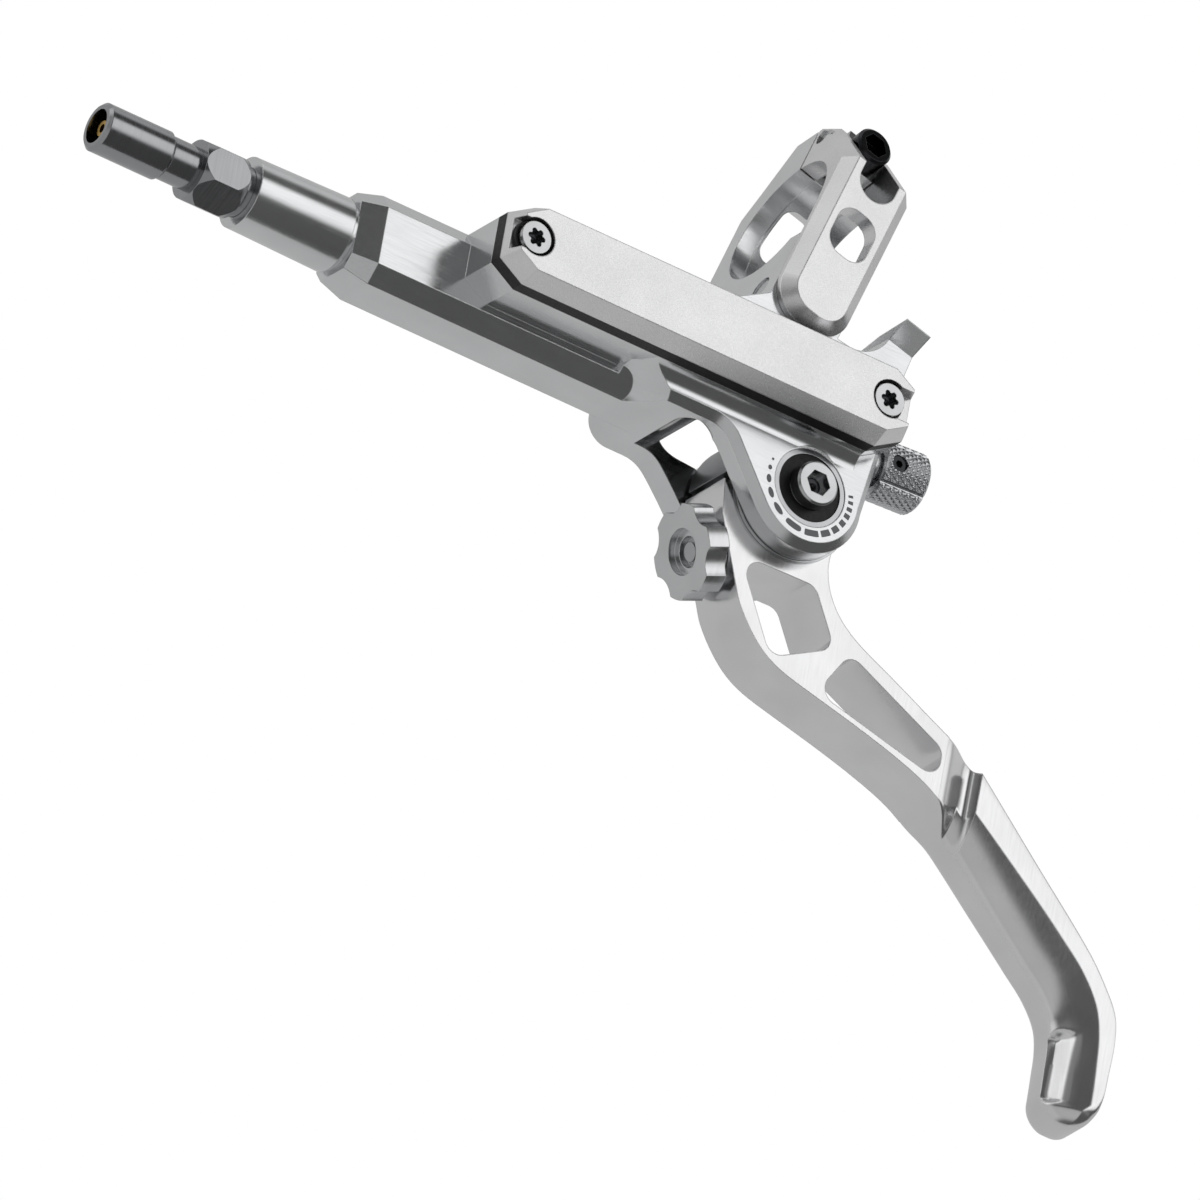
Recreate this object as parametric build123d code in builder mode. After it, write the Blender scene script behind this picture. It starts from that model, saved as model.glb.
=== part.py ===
from build123d import *
import math
import os

# Bicycle hydraulic brake lever with its master cylinder, in millimetres.
# +X runs along the cylinder bore from the hose end to the adjuster knob, +Z is up through the
# reservoir cover, +Y is towards the handlebar, and the origin is the centre of the handlebar clamp.

os.makedirs("parts", exist_ok=True)

# Fits and clearances
RUNNING = 0.05
LOCATING = 0.02
FREE = 0.3

# Handlebar clamp
BAR_R = 11.1
BAR_SKEW = 15.5
CLAMP_W = 13.0
CLAMP_WALL = 3.0
CLAMP_SPLIT = -1.6
CLAMP_GAP = 0.4
CLAMP_FAR = 18.6
CLAMP_NEAR = 21.5
CLAMP_EDGE = 1.9
STRAP_SLOT_A = -3.9
STRAP_SLOT_LEN = 8.4
STRAP_SLOT_W = 7.0
STRAP_SLOT_R = 2.8
STRAP_SLOT_DEPTH = 8.0
STRAP_END_R = 5.6
BORE_WINDOWS = ((-64.0, 9.0), (-122.0, 5.4))
BORE_WINDOW_W = 6.0
BORE_WINDOW_R = 1.8
BORE_WINDOW_DEPTH = 9.0
DECK_HOLLOW = (6.6, -19.4)
BORE_RELIEF = 0.08
BORE_RELIEF_W = 7.0
CLAMP_BOLT_A = 15.4
CLAMP_BOLT_Z = -6.0
CLAMP_BOLT_TILT = 12.0
CLAMP_BOLT_R = 2.0
CLAMP_BOLT_LEN = 13.0
CLAMP_HEAD_R = 3.1
CLAMP_HEAD_H = 3.6
CLAMP_SEAT = 8.5
CLAMP_BARREL_R = 1.5
CLAMP_FORK_W = 6.6
HEX_SOCKET = 3.6
HINGE_A = -16.6
HINGE_G = 6.4
HINGE_R = 2.0
KNUCKLE_R = 4.0
KNUCKLE_W = 6.4

# Master cylinder body
CYL_Y = -33.2
CYL_R = 4.75
BARREL_X = -79.9
BARREL_HALF_W = 7.6
BARREL_HALF_H = 6.05
BARREL_CUT_W = 2.76
BARREL_CUT_H = 2.3
BARREL_TAPER_L = 4.2
BARREL_TAPER = 1.1
BORE_END_X = -75.0
MOUTH_X = -17.0
BOSS_LEN = 16.9
BOSS_GAP = 0.95
BOSS_R = 6.1
BOSS_END_R = 5.8
BODY_END_X = 12.8
DECK_Z = 11.2
BRIDGE_Y = -24.6
BRACE_NEAR = 13.8
BRACE_FAR = 18.5
BRACE_FACE = -11.4
BRACE_LIP = 3.3
RUNOUT_X = -31.8
RUNOUT_R = 3.2
FOOT_R = 3.8
NOTCH_X = -17.4
NOTCH_Y = -43.4
NOTCH_Z = 5.0
NOTCH_R = 4.0

# Reservoir and cover
RES_Y = -30.1
RES_X = -60.7
RES_HALF_W = 6.6
RES_WALL = 1.7
RES_RIM_Z = 13.2
RES_FLOOR_Z = 8.6
TIMING_PORT = 3.0
FEED_PORT = 8.0
FLUID_PORT_R = 0.6
RES_CORNER_X = 4.5
RES_CORNER_Y = 2.7
SCREW_INSET_HOSE = 3.8
SCREW_INSET_KNOB = 5.1
SCREW_R = 1.5
SCREW_HEAD_R = 2.6
SCREW_HEAD_H = 2.0
SCREW_GRIP = 5.0
SCREW_SEAT_Z = 17.0
LOBE_R = 0.42
GASKET_T = 2.4
FLUID_DEPTH = 1.6
BLADDER_T = 0.8
COVER_T = 3.7
COVER_DRAFT = 20.0
COVER_BORE_R = 3.1

# Lever pivot, ears and bearings
PIVOT_X = 1.5
PIVOT_Y = -45.0
SLOT_HALF = 6.0
EAR_T = 4.6
EAR_R = 10.0
EAR_EDGE = 1.3
EAR_ROOT_R = 5.0
EAR_SIDE = 217.4
EAR_BLEND_R = 2.6
POCKET_R = 6.6
POCKET_TOP_R = 9.0
LOWER_EAR_R = 11.0
BEARING_R = 6.25
BEARING_T = 4.0
BEARING_LIP_R = 5.3
RACE_T = 0.8
SEAL_GAP = 0.2
SEAL_T = 0.5
INNER_RACE_R = 4.3
SLEEVE_R = 3.4
SLEEVE_HEAD_R = 4.2
SLEEVE_HEAD_T = 1.9
PIVOT_BOLT_R = 2.0
PIVOT_HEAD_R = 3.55
PIVOT_HEAD_H = 2.3
WASHER_R = 10.3
WASHER_T = 0.45

# Carrier, trunnion, pushrod and adjuster knob
TONGUE_HALF = 2.7
HUB_R = 5.6
CARRIER_HALF = 5.3
TRUNNION_X = 4.0
TRUNNION_R = 4.0
CHEEK_R = 5.8
HEEL_R = 11.6
HEEL_START = 100.0
HEEL_END = 180.8
LEVER_SWING = 22.0
BALL_X = -27.0
BALL_R = 2.6
BALL_DROP = 0.1
BALL_PLAY = 0.4
PUSHROD_SLOPE = 0.0521
PUSHROD_R = 2.5
NECK_R = 1.8
NECK_END_X = -11.5
COLLAR_X = 14.0
COLLAR_R = 3.7
COLLAR_T = 1.4
KNOB_X = 17.1
KNOB_LEN = 7.8
KNOB_R = 4.9
KNOB_GROOVE_OUT = 0.15
KNOB_GROOVE_R = 0.55
KNOB_GROOVES = 24
SET_SCREW_R = 1.3
SET_SCREW_IN = 2.2

# Lever blade and reach adjuster
BLADE_HALF = 5.4
FORK_HALF = 2.9
HUB_GAP = 0.5
BLADE_HUB_R = 6.9
FORK_R = 10.7
REACH_ARM = 6.8
REACH_ANGLE = 23.0
REACH_SWING = 6.2
REACH_SCREW_R = 1.5
REACH_SCREW_END = 5.5
REACH_FACE_UP = 4.4
REACH_FACE_DOWN = 3.8
REACH_FACE = -13.1
DOWEL_R = 2.5
DOWEL_EYE_R = 3.7
WHEEL_R = 7.35
WHEEL_T = 3.7
WHEEL_COLLAR_R = 5.2
WHEEL_COLLAR_T = 1.0
WHEEL_DISH = 1.2
WHEEL_DISH_R = 3.6
WHEEL_BORE_R = 2.4
WHEEL_LOBES = 6
WHEEL_SCALLOP_DEPTH = 1.1
WHEEL_SCALLOP_R = 3.6
GRIP_ROUND = 3.6
WINDOW_CORNER = 2.4
BACK_START = (10.2, -50.0)
BACK_BENDS = ((10.1, -54.2), (13.2, -60.1), (22.7, -65.6), (35.4, -71.4))
BACK_END = (41.6, -74.0)
FRONT_START = (41.6, -87.0)
FRONT_BENDS = ((34.7, -81.6), (28.4, -79.0), (9.0, -74.2), (1.4, -71.3), (-4.0, -65.4))
FRONT_SLOPE = (-6.9, 5.4)
GRIP_BACK = (41.0, -73.6)
GRIP_BACK_END = (65.8, -95.3)
GRIP_BEND_BACK = ((69.9, -100.0), (72.3, -103.9))
HOOK_BACK = (73.0, -108.5)
HOOK_BACK_END = (72.8, -119.2)
HOOK_FRONT_END = (64.5, -119.2)
HOOK_FRONT = (64.4, -110.0)
GRIP_BEND_FRONT = ((63.6, -106.4), (60.8, -102.7))
GRIP_FRONT_END = (57.0, -99.5)
GRIP_FRONT = (41.0, -86.5)
WINDOW_ONE = ((-5.4, -57.5), (8.3, -57.2), (13.4, -65.8), (2.8, -71.7))
WINDOW_TWO = ((16.3, -65.4), (34.8, -73.9), (34.8, -79.1), (11.8, -73.8))
PAD_Y = -114.5
PAD_LEN = 11.5
PAD_W = 4.8
PAD_DEPTH = 0.9
SCOOP_X = 39.2
SCOOP_R = 3.2
SCOOP_DEPTH = 1.6
BLADE_PEAK_R = 11.9
BLADE_PEAK_ANGLE = 187.2

# Piston group
PISTON_LEN = 20.0
PISTON_END_X = -21.5
PISTON_CROWN = 0.05
SEAL_W = 2.2
SEAL_DEPTH = 1.5
SPRING_R = 3.3
SPRING_WIRE = 0.45
SPRING_TURNS = 6
SPRING_STEPS = 12
SPRING_SEAT_T = 1.2
STOP_WASHER_T = 1.0
STOP_HOLE_R = 3.1
SECONDARY_IN = 4.0
CIRCLIP_T = 0.8
GROOVE_IN = 1.2
CIRCLIP_GROOVE = 0.5

# Hose fitting
PORT_R = 4.0
PORT_DEPTH = 13.5
NUT_AF = 9.6
NUT_LEN = 7.9
NUT_GAP = 1.4
NUT_THREAD = 8.0
FERRULE_NECK_R = 3.5
FERRULE_NECK = 5.0
FERRULE_R = 3.95
FERRULE_LEN = 12.2
HOSE_R = 2.5
BARB_R = 1.3
BARB_BORE_R = 0.7
OLIVE_LEN = 3.0

# Places that follow from the sizes above
SKEW = math.radians(BAR_SKEW)
BAR_DIR = Vector(math.cos(SKEW), -math.sin(SKEW), 0)
ACROSS_DIR = Vector(math.sin(SKEW), math.cos(SKEW), 0)
CLAMP_TOP = DECK_Z + CLAMP_WALL
PIVOT = Vector(PIVOT_X, PIVOT_Y, 0)
EAR_OUT = SLOT_HALF + EAR_T
BOSS_X = BARREL_X - BOSS_GAP - BOSS_LEN
WALL_Y = CYL_Y - BARREL_HALF_W
COVER_Z = RES_RIM_Z + GASKET_T
COVER_TOP_Z = COVER_Z + COVER_T
SCREW_XS = (RES_X + SCREW_INSET_HOSE, BODY_END_X - SCREW_INSET_KNOB)
BALL_Y = CYL_Y - BALL_DROP
TRUNNION = Vector(TRUNNION_X, BALL_Y + PUSHROD_SLOPE * (TRUNNION_X - BALL_X), 0)
ROD_DIR = Vector(1, PUSHROD_SLOPE, 0).normalized()
ROD_ANGLE = math.degrees(math.atan(PUSHROD_SLOPE))
REACH_DIR = Vector(math.cos(math.radians(REACH_ANGLE)), math.sin(math.radians(REACH_ANGLE)), 0)
DOWEL = PIVOT + Vector(REACH_DIR.Y, -REACH_DIR.X, 0) * REACH_ARM
PISTON_FRONT_X = PISTON_END_X - PISTON_LEN
CUP_FLOOR_X = BALL_X - BALL_R - PISTON_CROWN
NUT_X = BOSS_X - NUT_GAP - NUT_LEN
FERRULE_X = NUT_X - FERRULE_NECK - FERRULE_LEN


def flat(vector):
    """The plan position of a point."""
    return (vector.X, vector.Y)


def clamp_point(alpha, beta, z=0.0):
    """A point given across the bar, along the bar and up."""
    return ACROSS_DIR * alpha + BAR_DIR * beta + Vector(0, 0, z)


def clamp_plane(beta, alpha=0.0, z=0.0):
    """The plane square to the bar: local x away from the cylinder, local y up."""
    return Plane(origin=clamp_point(alpha, beta, z), x_dir=ACROSS_DIR, z_dir=BAR_DIR)


def cylinder_plane(x):
    """The plane square to the cylinder bore at x: local x is +Y, local y is +Z."""
    return Plane(origin=(x, CYL_Y, 0), x_dir=(0, 1, 0), z_dir=(1, 0, 0))


def rod_plane(x):
    """The plane square to the pushrod where it passes x."""
    y = BALL_Y + PUSHROD_SLOPE * (x - BALL_X)
    return Plane(origin=(x, y, 0), x_dir=(-ROD_DIR.Y, ROD_DIR.X, 0), z_dir=ROD_DIR)


def reach_plane(s):
    """The plane square to the reach screw at distance s past its dowel."""
    return Plane(origin=DOWEL + REACH_DIR * s, x_dir=(-REACH_DIR.Y, REACH_DIR.X, 0), z_dir=REACH_DIR)


def pivot_plane(z):
    """The plane square to the lever pivot at height z."""
    return Plane(origin=PIVOT + Vector(0, 0, z))


def bolt_plane(t):
    """The plane square to the tilted clamp bolt, t along it from where it crosses the fixed half."""
    lean = math.radians(CLAMP_BOLT_TILT)
    along = ACROSS_DIR * math.sin(lean) + Vector(0, 0, math.cos(lean))
    start = clamp_point(CLAMP_BOLT_A, 0, CLAMP_BOLT_Z)
    return Plane(origin=start + along * t, x_dir=BAR_DIR, z_dir=along)


def barrel_washer_plane():
    """The plane square to the barrel washer, at its end away from the lever's brace."""
    centre = bolt_plane(CLAMP_SEAT - CLAMP_BARREL_R).origin
    return Plane(origin=centre - BAR_DIR * CLAMP_W / 2, x_dir=ACROSS_DIR, z_dir=BAR_DIR)


def disc(plane, radius, amount, mode=Mode.ADD):
    """A round bar or hole of one radius, extruded from a plane."""
    with BuildSketch(plane) as section:
        Circle(radius)
    extrude(section.sketch, amount=amount, mode=mode)


def tube(plane, outer, inner, amount):
    """A ring with a bore, extruded from a plane."""
    with BuildSketch(plane) as section:
        Circle(outer)
        Circle(inner, mode=Mode.SUBTRACT)
    extrude(section.sketch, amount=amount)


def save(builder, name):
    """Label a finished piece and write it to its own file."""
    builder.part.label = name
    export_step(builder.part, f"parts/{name}.step")
    print(name, len(builder.part.solids()), round(builder.part.volume, 1))


def reservoir_outline(inset=0.0):
    """The long octagon shared by the reservoir, gasket and cover, drawn in by an inset."""
    half_l = (BODY_END_X - RES_X) / 2 - inset
    half_w = RES_HALF_W - inset
    cut_x = RES_CORNER_X - 0.4 * inset
    cut_y = RES_CORNER_Y - 0.4 * inset
    upper = [(half_l, half_w - cut_y), (half_l - cut_x, half_w)]
    upper += [(-x, y) for x, y in reversed(upper)]
    with Locations(((RES_X + BODY_END_X) / 2, RES_Y)):
        Polygon(*upper, *[(-x, -y) for x, y in upper], align=None)


def cavity_outline(inset=0.0):
    """The fluid chamber between the two cover screws, drawn in by an inset."""
    wall = SCREW_R + 2 * RES_WALL
    start = SCREW_XS[0] + wall + inset
    end = SCREW_XS[1] - wall - inset
    with Locations(((start + end) / 2, RES_Y)):
        RectangleRounded(end - start, 2 * (RES_HALF_W - RES_WALL - inset), 2.0)


def upper_ear_outline():
    """The ear over the pivot, tangent to its round end on the hose side."""
    side = math.radians(EAR_SIDE)
    touch = PIVOT + Vector(math.cos(side), math.sin(side), 0) * EAR_R
    rise = (WALL_Y - touch.Y) / -math.cos(side)
    along = Vector(math.sin(side), -math.cos(side), 0)
    root = touch + along * rise
    turn_in = EAR_ROOT_R * math.tan((math.pi / 2 - (side - math.pi)) / 2)
    with BuildSketch(mode=Mode.PRIVATE) as plate:
        with BuildLine():
            Line((RUNOUT_X, WALL_Y), (root.X - turn_in, WALL_Y))
            TangentArc((root.X - turn_in, WALL_Y), flat(root - along * turn_in), tangent=(1, 0))
            Polyline(
                flat(root - along * turn_in),
                flat(touch),
                flat(PIVOT),
                (PIVOT_X + EAR_R, PIVOT_Y),
                (BODY_END_X, PIVOT_Y + EAR_R),
                (BODY_END_X, RES_Y),
                (RUNOUT_X, RES_Y),
                (RUNOUT_X, WALL_Y),
            )
        make_face()
    with Locations(flat(PIVOT)):
        Circle(EAR_R)
    add(plate.sketch)


def lower_ear_outline():
    """The ear under the pivot and the arm that carries it from the underside of the barrel."""
    side = math.radians(EAR_SIDE)
    touch = PIVOT + Vector(math.cos(side), math.sin(side), 0) * LOWER_EAR_R
    along = (-math.sin(side), math.cos(side))
    foot_x = MOUTH_X - 9.4
    with BuildSketch(mode=Mode.PRIVATE) as arm:
        with BuildLine():
            Line((MOUTH_X, BRIDGE_Y - 3), (foot_x, BRIDGE_Y - 3))
            Line((foot_x, BRIDGE_Y - 3), (foot_x, WALL_Y + FOOT_R))
            TangentArc((foot_x, WALL_Y + FOOT_R), (foot_x + FOOT_R, WALL_Y), tangent=(0, -1))
            Line((foot_x + FOOT_R, WALL_Y), (MOUTH_X - 2.4, WALL_Y))
            Spline(
                (MOUTH_X - 2.4, WALL_Y),
                (MOUTH_X + 2.4, WALL_Y - 2.4),
                flat(touch),
                tangents=((1, 0), along),
            )
            Line(flat(touch), flat(PIVOT))
            Line(flat(PIVOT), (MOUTH_X + 7.6, WALL_Y + 0.4))
            Spline(
                (MOUTH_X + 7.6, WALL_Y + 0.4),
                (MOUTH_X + 2.6, WALL_Y + 1.0),
                (MOUTH_X, -36.0),
                tangents=((-1, 0.1), (0, 1)),
            )
            Line((MOUTH_X, -36.0), (MOUTH_X, BRIDGE_Y - 3))
        make_face()
    with Locations(flat(PIVOT)):
        Circle(LOWER_EAR_R)
    add(arm.sketch)


def heel_outline(inner, outer=HEEL_R, end=HEEL_END):
    """The sector of the carrier's round heel between two radii."""
    with BuildSketch(mode=Mode.PRIVATE) as sector:
        with BuildLine():
            outside = CenterArc((0, 0), outer, HEEL_START, end - HEEL_START)
            inside = CenterArc((0, 0), inner, HEEL_START, end - HEEL_START)
            Line(outside @ 0, inside @ 0)
            Line(outside @ 1, inside @ 1)
        make_face()
    with Locations(flat(PIVOT)):
        add(sector.sketch)


# Body: barrel, boss, reservoir, ears, bridge, brace and the fixed half of the clamp
with BuildPart() as master_body:
    corner_y = BARREL_HALF_H - BARREL_CUT_H
    corner_x = BARREL_HALF_W - BARREL_CUT_W
    half_ring = [(BARREL_HALF_W, corner_y), (corner_x, BARREL_HALF_H)]
    half_ring += [(-x, y) for x, y in reversed(half_ring)]
    with BuildSketch(cylinder_plane(BARREL_X + BARREL_TAPER_L)) as octagon:
        Polygon(*half_ring, *[(-x, -y) for x, y in half_ring], align=None)
    extrude(amount=MOUTH_X - BARREL_X - BARREL_TAPER_L)
    with BuildSketch(cylinder_plane(BARREL_X)):
        offset(octagon.sketch_local, amount=-BARREL_TAPER, kind=Kind.INTERSECTION)
    with BuildSketch(cylinder_plane(BARREL_X + BARREL_TAPER_L)):
        add(octagon.sketch_local)
    loft()

    # Boss round the hose port, set off from the barrel by a narrow groove
    disc(cylinder_plane(BARREL_X), BOSS_R - 0.8, -BOSS_GAP)
    with BuildSketch(cylinder_plane(BOSS_X)):
        Circle(BOSS_END_R)
    with BuildSketch(cylinder_plane(BOSS_X + BOSS_LEN)):
        Circle(BOSS_R)
    loft()

    # Ears, with a bevelled outer edge
    with BuildSketch(Plane.XY.offset(SLOT_HALF)):
        upper_ear_outline()
    extrude(amount=EAR_T - EAR_EDGE)
    with BuildSketch(Plane.XY.offset(EAR_OUT - EAR_EDGE)):
        upper_ear_outline()
    extrude(amount=EAR_EDGE, taper=45)
    with BuildSketch(Plane.XY.offset(corner_y)):
        Polygon((RUNOUT_X, RES_Y), (RUNOUT_X, WALL_Y), (MOUTH_X, WALL_Y), (MOUTH_X, RES_Y), align=None)
    extrude(amount=SLOT_HALF - corner_y)

    # Round blend from the ear's top up to the reservoir wall
    blend_y = RES_Y - RES_HALF_W
    blend_plane = Plane(origin=(RUNOUT_X, 0, 0), x_dir=(0, 1, 0), z_dir=(1, 0, 0))
    with BuildSketch(blend_plane):
        with BuildLine():
            Line((blend_y - EAR_BLEND_R, EAR_OUT), (blend_y + 1, EAR_OUT))
            Line((blend_y + 1, EAR_OUT), (blend_y + 1, RES_RIM_Z))
            Line((blend_y + 1, RES_RIM_Z), (blend_y, RES_RIM_Z))
            RadiusArc((blend_y, RES_RIM_Z), (blend_y - EAR_BLEND_R, EAR_OUT), EAR_BLEND_R)
        make_face()
    extrude(amount=BODY_END_X - RES_CORNER_X - RUNOUT_X)

    # Conical run-out of the barrel's upper bevel
    bevel_mid = Vector(RUNOUT_X, WALL_Y + BARREL_CUT_W / 2, (BARREL_HALF_H + corner_y) / 2)
    bevel_plane = Plane(origin=bevel_mid, x_dir=(1, 0, 0), z_dir=(0, -BARREL_CUT_H, BARREL_CUT_W))
    with Locations(bevel_plane):
        Cone(RUNOUT_R, RUNOUT_R + 8, 8, align=(Align.CENTER, Align.CENTER, Align.MIN), mode=Mode.SUBTRACT)

    # Reservoir walls
    with BuildSketch(Plane.XY.offset(corner_y)):
        reservoir_outline()
    extrude(amount=RES_RIM_Z - corner_y)

    # Round pocket in the wall over the pivot bearing
    with Locations(pivot_plane(EAR_OUT)):
        Cone(
            POCKET_R,
            POCKET_TOP_R,
            RES_RIM_Z - EAR_OUT,
            align=(Align.CENTER, Align.CENTER, Align.MIN),
            mode=Mode.SUBTRACT,
        )
    with BuildSketch(Plane.XY.offset(-EAR_OUT)):
        lower_ear_outline()
    extrude(amount=EAR_T)
    with BuildSketch(Plane.XY.offset(-SLOT_HALF)):
        lower_ear_outline()
        with Locations((MOUTH_X, PIVOT_Y)):
            Rectangle(60, 60, align=(Align.MIN, Align.CENTER), mode=Mode.SUBTRACT)
    extrude(amount=corner_y)

    # Bridge from the barrel to the clamp and deck behind the reservoir
    deck_left = clamp_point(-CLAMP_NEAR + 3, CLAMP_W / 2)
    with BuildSketch(Plane.XY.offset(-BARREL_HALF_H)):
        Polygon(
            (MOUTH_X - 17, CYL_Y + corner_x),
            (MOUTH_X - 7, BRIDGE_Y + 0.6),
            flat(clamp_point(-CLAMP_NEAR + 2, -CLAMP_W / 2)),
            flat(deck_left),
            (BODY_END_X, BRIDGE_Y + 3),
            (BODY_END_X, CYL_Y + corner_x),
            align=None,
        )
    extrude(amount=DECK_Z + BARREL_HALF_H)
    brace_near = clamp_point(BRACE_FACE - 1.2, BRACE_NEAR)
    brace_far = clamp_point(BRACE_FACE - 1.2, BRACE_FAR)
    with BuildSketch(Plane.XY.offset(-BARREL_HALF_H + 2)):
        with BuildLine():
            deck_back = ((-2.0, RES_Y), (BODY_END_X, RES_Y), (BODY_END_X, BRIDGE_Y))
            Polyline(flat(deck_left), *deck_back, flat(brace_far))
            Line(flat(brace_far), flat(brace_near))
            ThreePointArc(flat(brace_near), DECK_HOLLOW, flat(deck_left))
        make_face()
    extrude(amount=DECK_Z + BARREL_HALF_H - 2)
    with BuildSketch(clamp_plane(BRACE_NEAR)):
        Polygon(
            (BRACE_FACE, -BARREL_HALF_H + 2),
            (BRACE_FACE - 1.3, -BARREL_HALF_H + 2),
            (BRACE_FACE - 1.3, DECK_Z),
            (BRACE_FACE + 1.5, DECK_Z + BRACE_LIP),
            (BRACE_FACE + 1.1, BAR_R / 2 + 1.5),
            (BRACE_FACE, 3.0),
            align=None,
        )
    extrude(amount=BRACE_FAR - BRACE_NEAR)

    # Fixed half of the clamp
    with BuildSketch(clamp_plane(-CLAMP_W / 2)):
        Polygon(
            (CLAMP_FAR, CLAMP_SPLIT),
            (CLAMP_FAR - 0.6, -6.9),
            (10.0, -BAR_R - 0.4),
            (5.8, -BAR_R - CLAMP_WALL),
            (-7.6, -BAR_R - CLAMP_WALL),
            (-17.0, -9.0),
            (-CLAMP_NEAR - 3, -BARREL_HALF_H),
            (-CLAMP_NEAR - 3, DECK_Z),
            (-7.3, DECK_Z),
            (-7.3, CLAMP_SPLIT),
            align=None,
        )
    extrude(amount=CLAMP_W)

    # Handlebar bore, relieved along its middle, and the windows through the lower wall
    disc(clamp_plane(-CLAMP_W / 2), BAR_R, CLAMP_W, mode=Mode.SUBTRACT)
    disc(clamp_plane(-BORE_RELIEF_W / 2), BAR_R + BORE_RELIEF, BORE_RELIEF_W, mode=Mode.SUBTRACT)
    for middle, window_h in BORE_WINDOWS:
        turn = math.radians(middle)
        window_dir = ACROSS_DIR * math.cos(turn) + Vector(0, 0, math.sin(turn))
        with BuildSketch(Plane(origin=window_dir * (BAR_R - 2), x_dir=BAR_DIR, z_dir=window_dir)):
            RectangleRounded(BORE_WINDOW_W, window_h, BORE_WINDOW_R)
        extrude(amount=BORE_WINDOW_DEPTH, mode=Mode.SUBTRACT)

    # Lever slot between the ears, open at the knob end
    with BuildSketch(Plane.XY.offset(-SLOT_HALF)):
        Polygon(
            (MOUTH_X, BRIDGE_Y),
            (MOUTH_X, PIVOT_Y - 20),
            (BODY_END_X + 10, PIVOT_Y - 20),
            (BODY_END_X + 10, BRIDGE_Y),
            align=None,
        )
    extrude(amount=2 * SLOT_HALF, mode=Mode.SUBTRACT)

    # Ball-nosed notch where the slot breaks out of the front wall
    notch = Plane(origin=(NOTCH_X, NOTCH_Y, -SLOT_HALF))
    disc(notch, NOTCH_R, NOTCH_Z + SLOT_HALF, mode=Mode.SUBTRACT)
    with Locations((NOTCH_X, NOTCH_Y, NOTCH_Z)):
        Sphere(NOTCH_R, mode=Mode.SUBTRACT)

    # Cylinder bore with its snap ring groove, hose port and the passage between them
    disc(cylinder_plane(BORE_END_X), CYL_R, MOUTH_X + 5 - BORE_END_X, mode=Mode.SUBTRACT)
    disc(cylinder_plane(MOUTH_X - GROOVE_IN), CYL_R + CIRCLIP_GROOVE, -CIRCLIP_T, mode=Mode.SUBTRACT)
    disc(cylinder_plane(BOSS_X), PORT_R + RUNNING, PORT_DEPTH, mode=Mode.SUBTRACT)
    passage = BORE_END_X - BOSS_X - PORT_DEPTH
    disc(cylinder_plane(BOSS_X + PORT_DEPTH - 1), HOSE_R - 1, passage + 2, mode=Mode.SUBTRACT)

    # Fluid chamber, its two ports and the cover screw holes
    with BuildSketch(Plane.XY.offset(RES_FLOOR_Z)):
        cavity_outline()
    extrude(amount=RES_RIM_Z - RES_FLOOR_Z, mode=Mode.SUBTRACT)
    port_xs = (PISTON_FRONT_X - TIMING_PORT, PISTON_FRONT_X + FEED_PORT)
    with Locations(*[(x, CYL_Y + 1, RES_FLOOR_Z) for x in port_xs]):
        Hole(FLUID_PORT_R, depth=RES_FLOOR_Z - CYL_R + 1)
    with Locations(*[(x, RES_Y, RES_RIM_Z) for x in SCREW_XS]):
        Hole(SCREW_R + RUNNING, depth=SCREW_GRIP + 1)

    # Bearing seats and the holes through the ears
    disc(pivot_plane(EAR_OUT), BEARING_R + LOCATING, -BEARING_T, mode=Mode.SUBTRACT)
    disc(pivot_plane(-EAR_OUT), BEARING_R + LOCATING, BEARING_T, mode=Mode.SUBTRACT)
    disc(pivot_plane(-EAR_OUT), BEARING_LIP_R, 2 * EAR_OUT, mode=Mode.SUBTRACT)

    # Hinge knuckle pocket, hinge pin hole and clamp bolt hole
    disc(clamp_plane(-KNUCKLE_W / 2, HINGE_A, HINGE_G), KNUCKLE_R + FREE, KNUCKLE_W, mode=Mode.SUBTRACT)
    with BuildSketch(clamp_plane(-KNUCKLE_W / 2, HINGE_A, HINGE_G)):
        Rectangle(2 * (KNUCKLE_R + FREE), 2 * KNUCKLE_R, align=(Align.CENTER, Align.MIN))
    extrude(amount=KNUCKLE_W, mode=Mode.SUBTRACT)
    disc(clamp_plane(-CLAMP_W, HINGE_A, HINGE_G), HINGE_R + LOCATING, 2 * CLAMP_W, mode=Mode.SUBTRACT)
    disc(bolt_plane(-20.0), CLAMP_BOLT_R + LOCATING, 30.0, mode=Mode.SUBTRACT)

save(master_body, "master_body")

# Cover, with a drafted side and open-ended screw recesses
with BuildPart() as reservoir_cover:
    with BuildSketch(Plane.XY.offset(COVER_Z)):
        reservoir_outline()
    extrude(amount=COVER_T, taper=COVER_DRAFT)
    for x, away in zip(SCREW_XS, (-1, 1)):
        with BuildSketch(Plane.XY.offset(SCREW_SEAT_Z)):
            with Locations((x, RES_Y)):
                Circle(COVER_BORE_R)
            with Locations((x + away * 5, RES_Y)):
                Rectangle(10, 1.7 * COVER_BORE_R)
        extrude(amount=COVER_TOP_Z, mode=Mode.SUBTRACT)
        with Locations((x, RES_Y, SCREW_SEAT_Z)):
            Hole(SCREW_R + 3 * RUNNING, depth=COVER_T)
save(reservoir_cover, "reservoir_cover")

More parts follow.
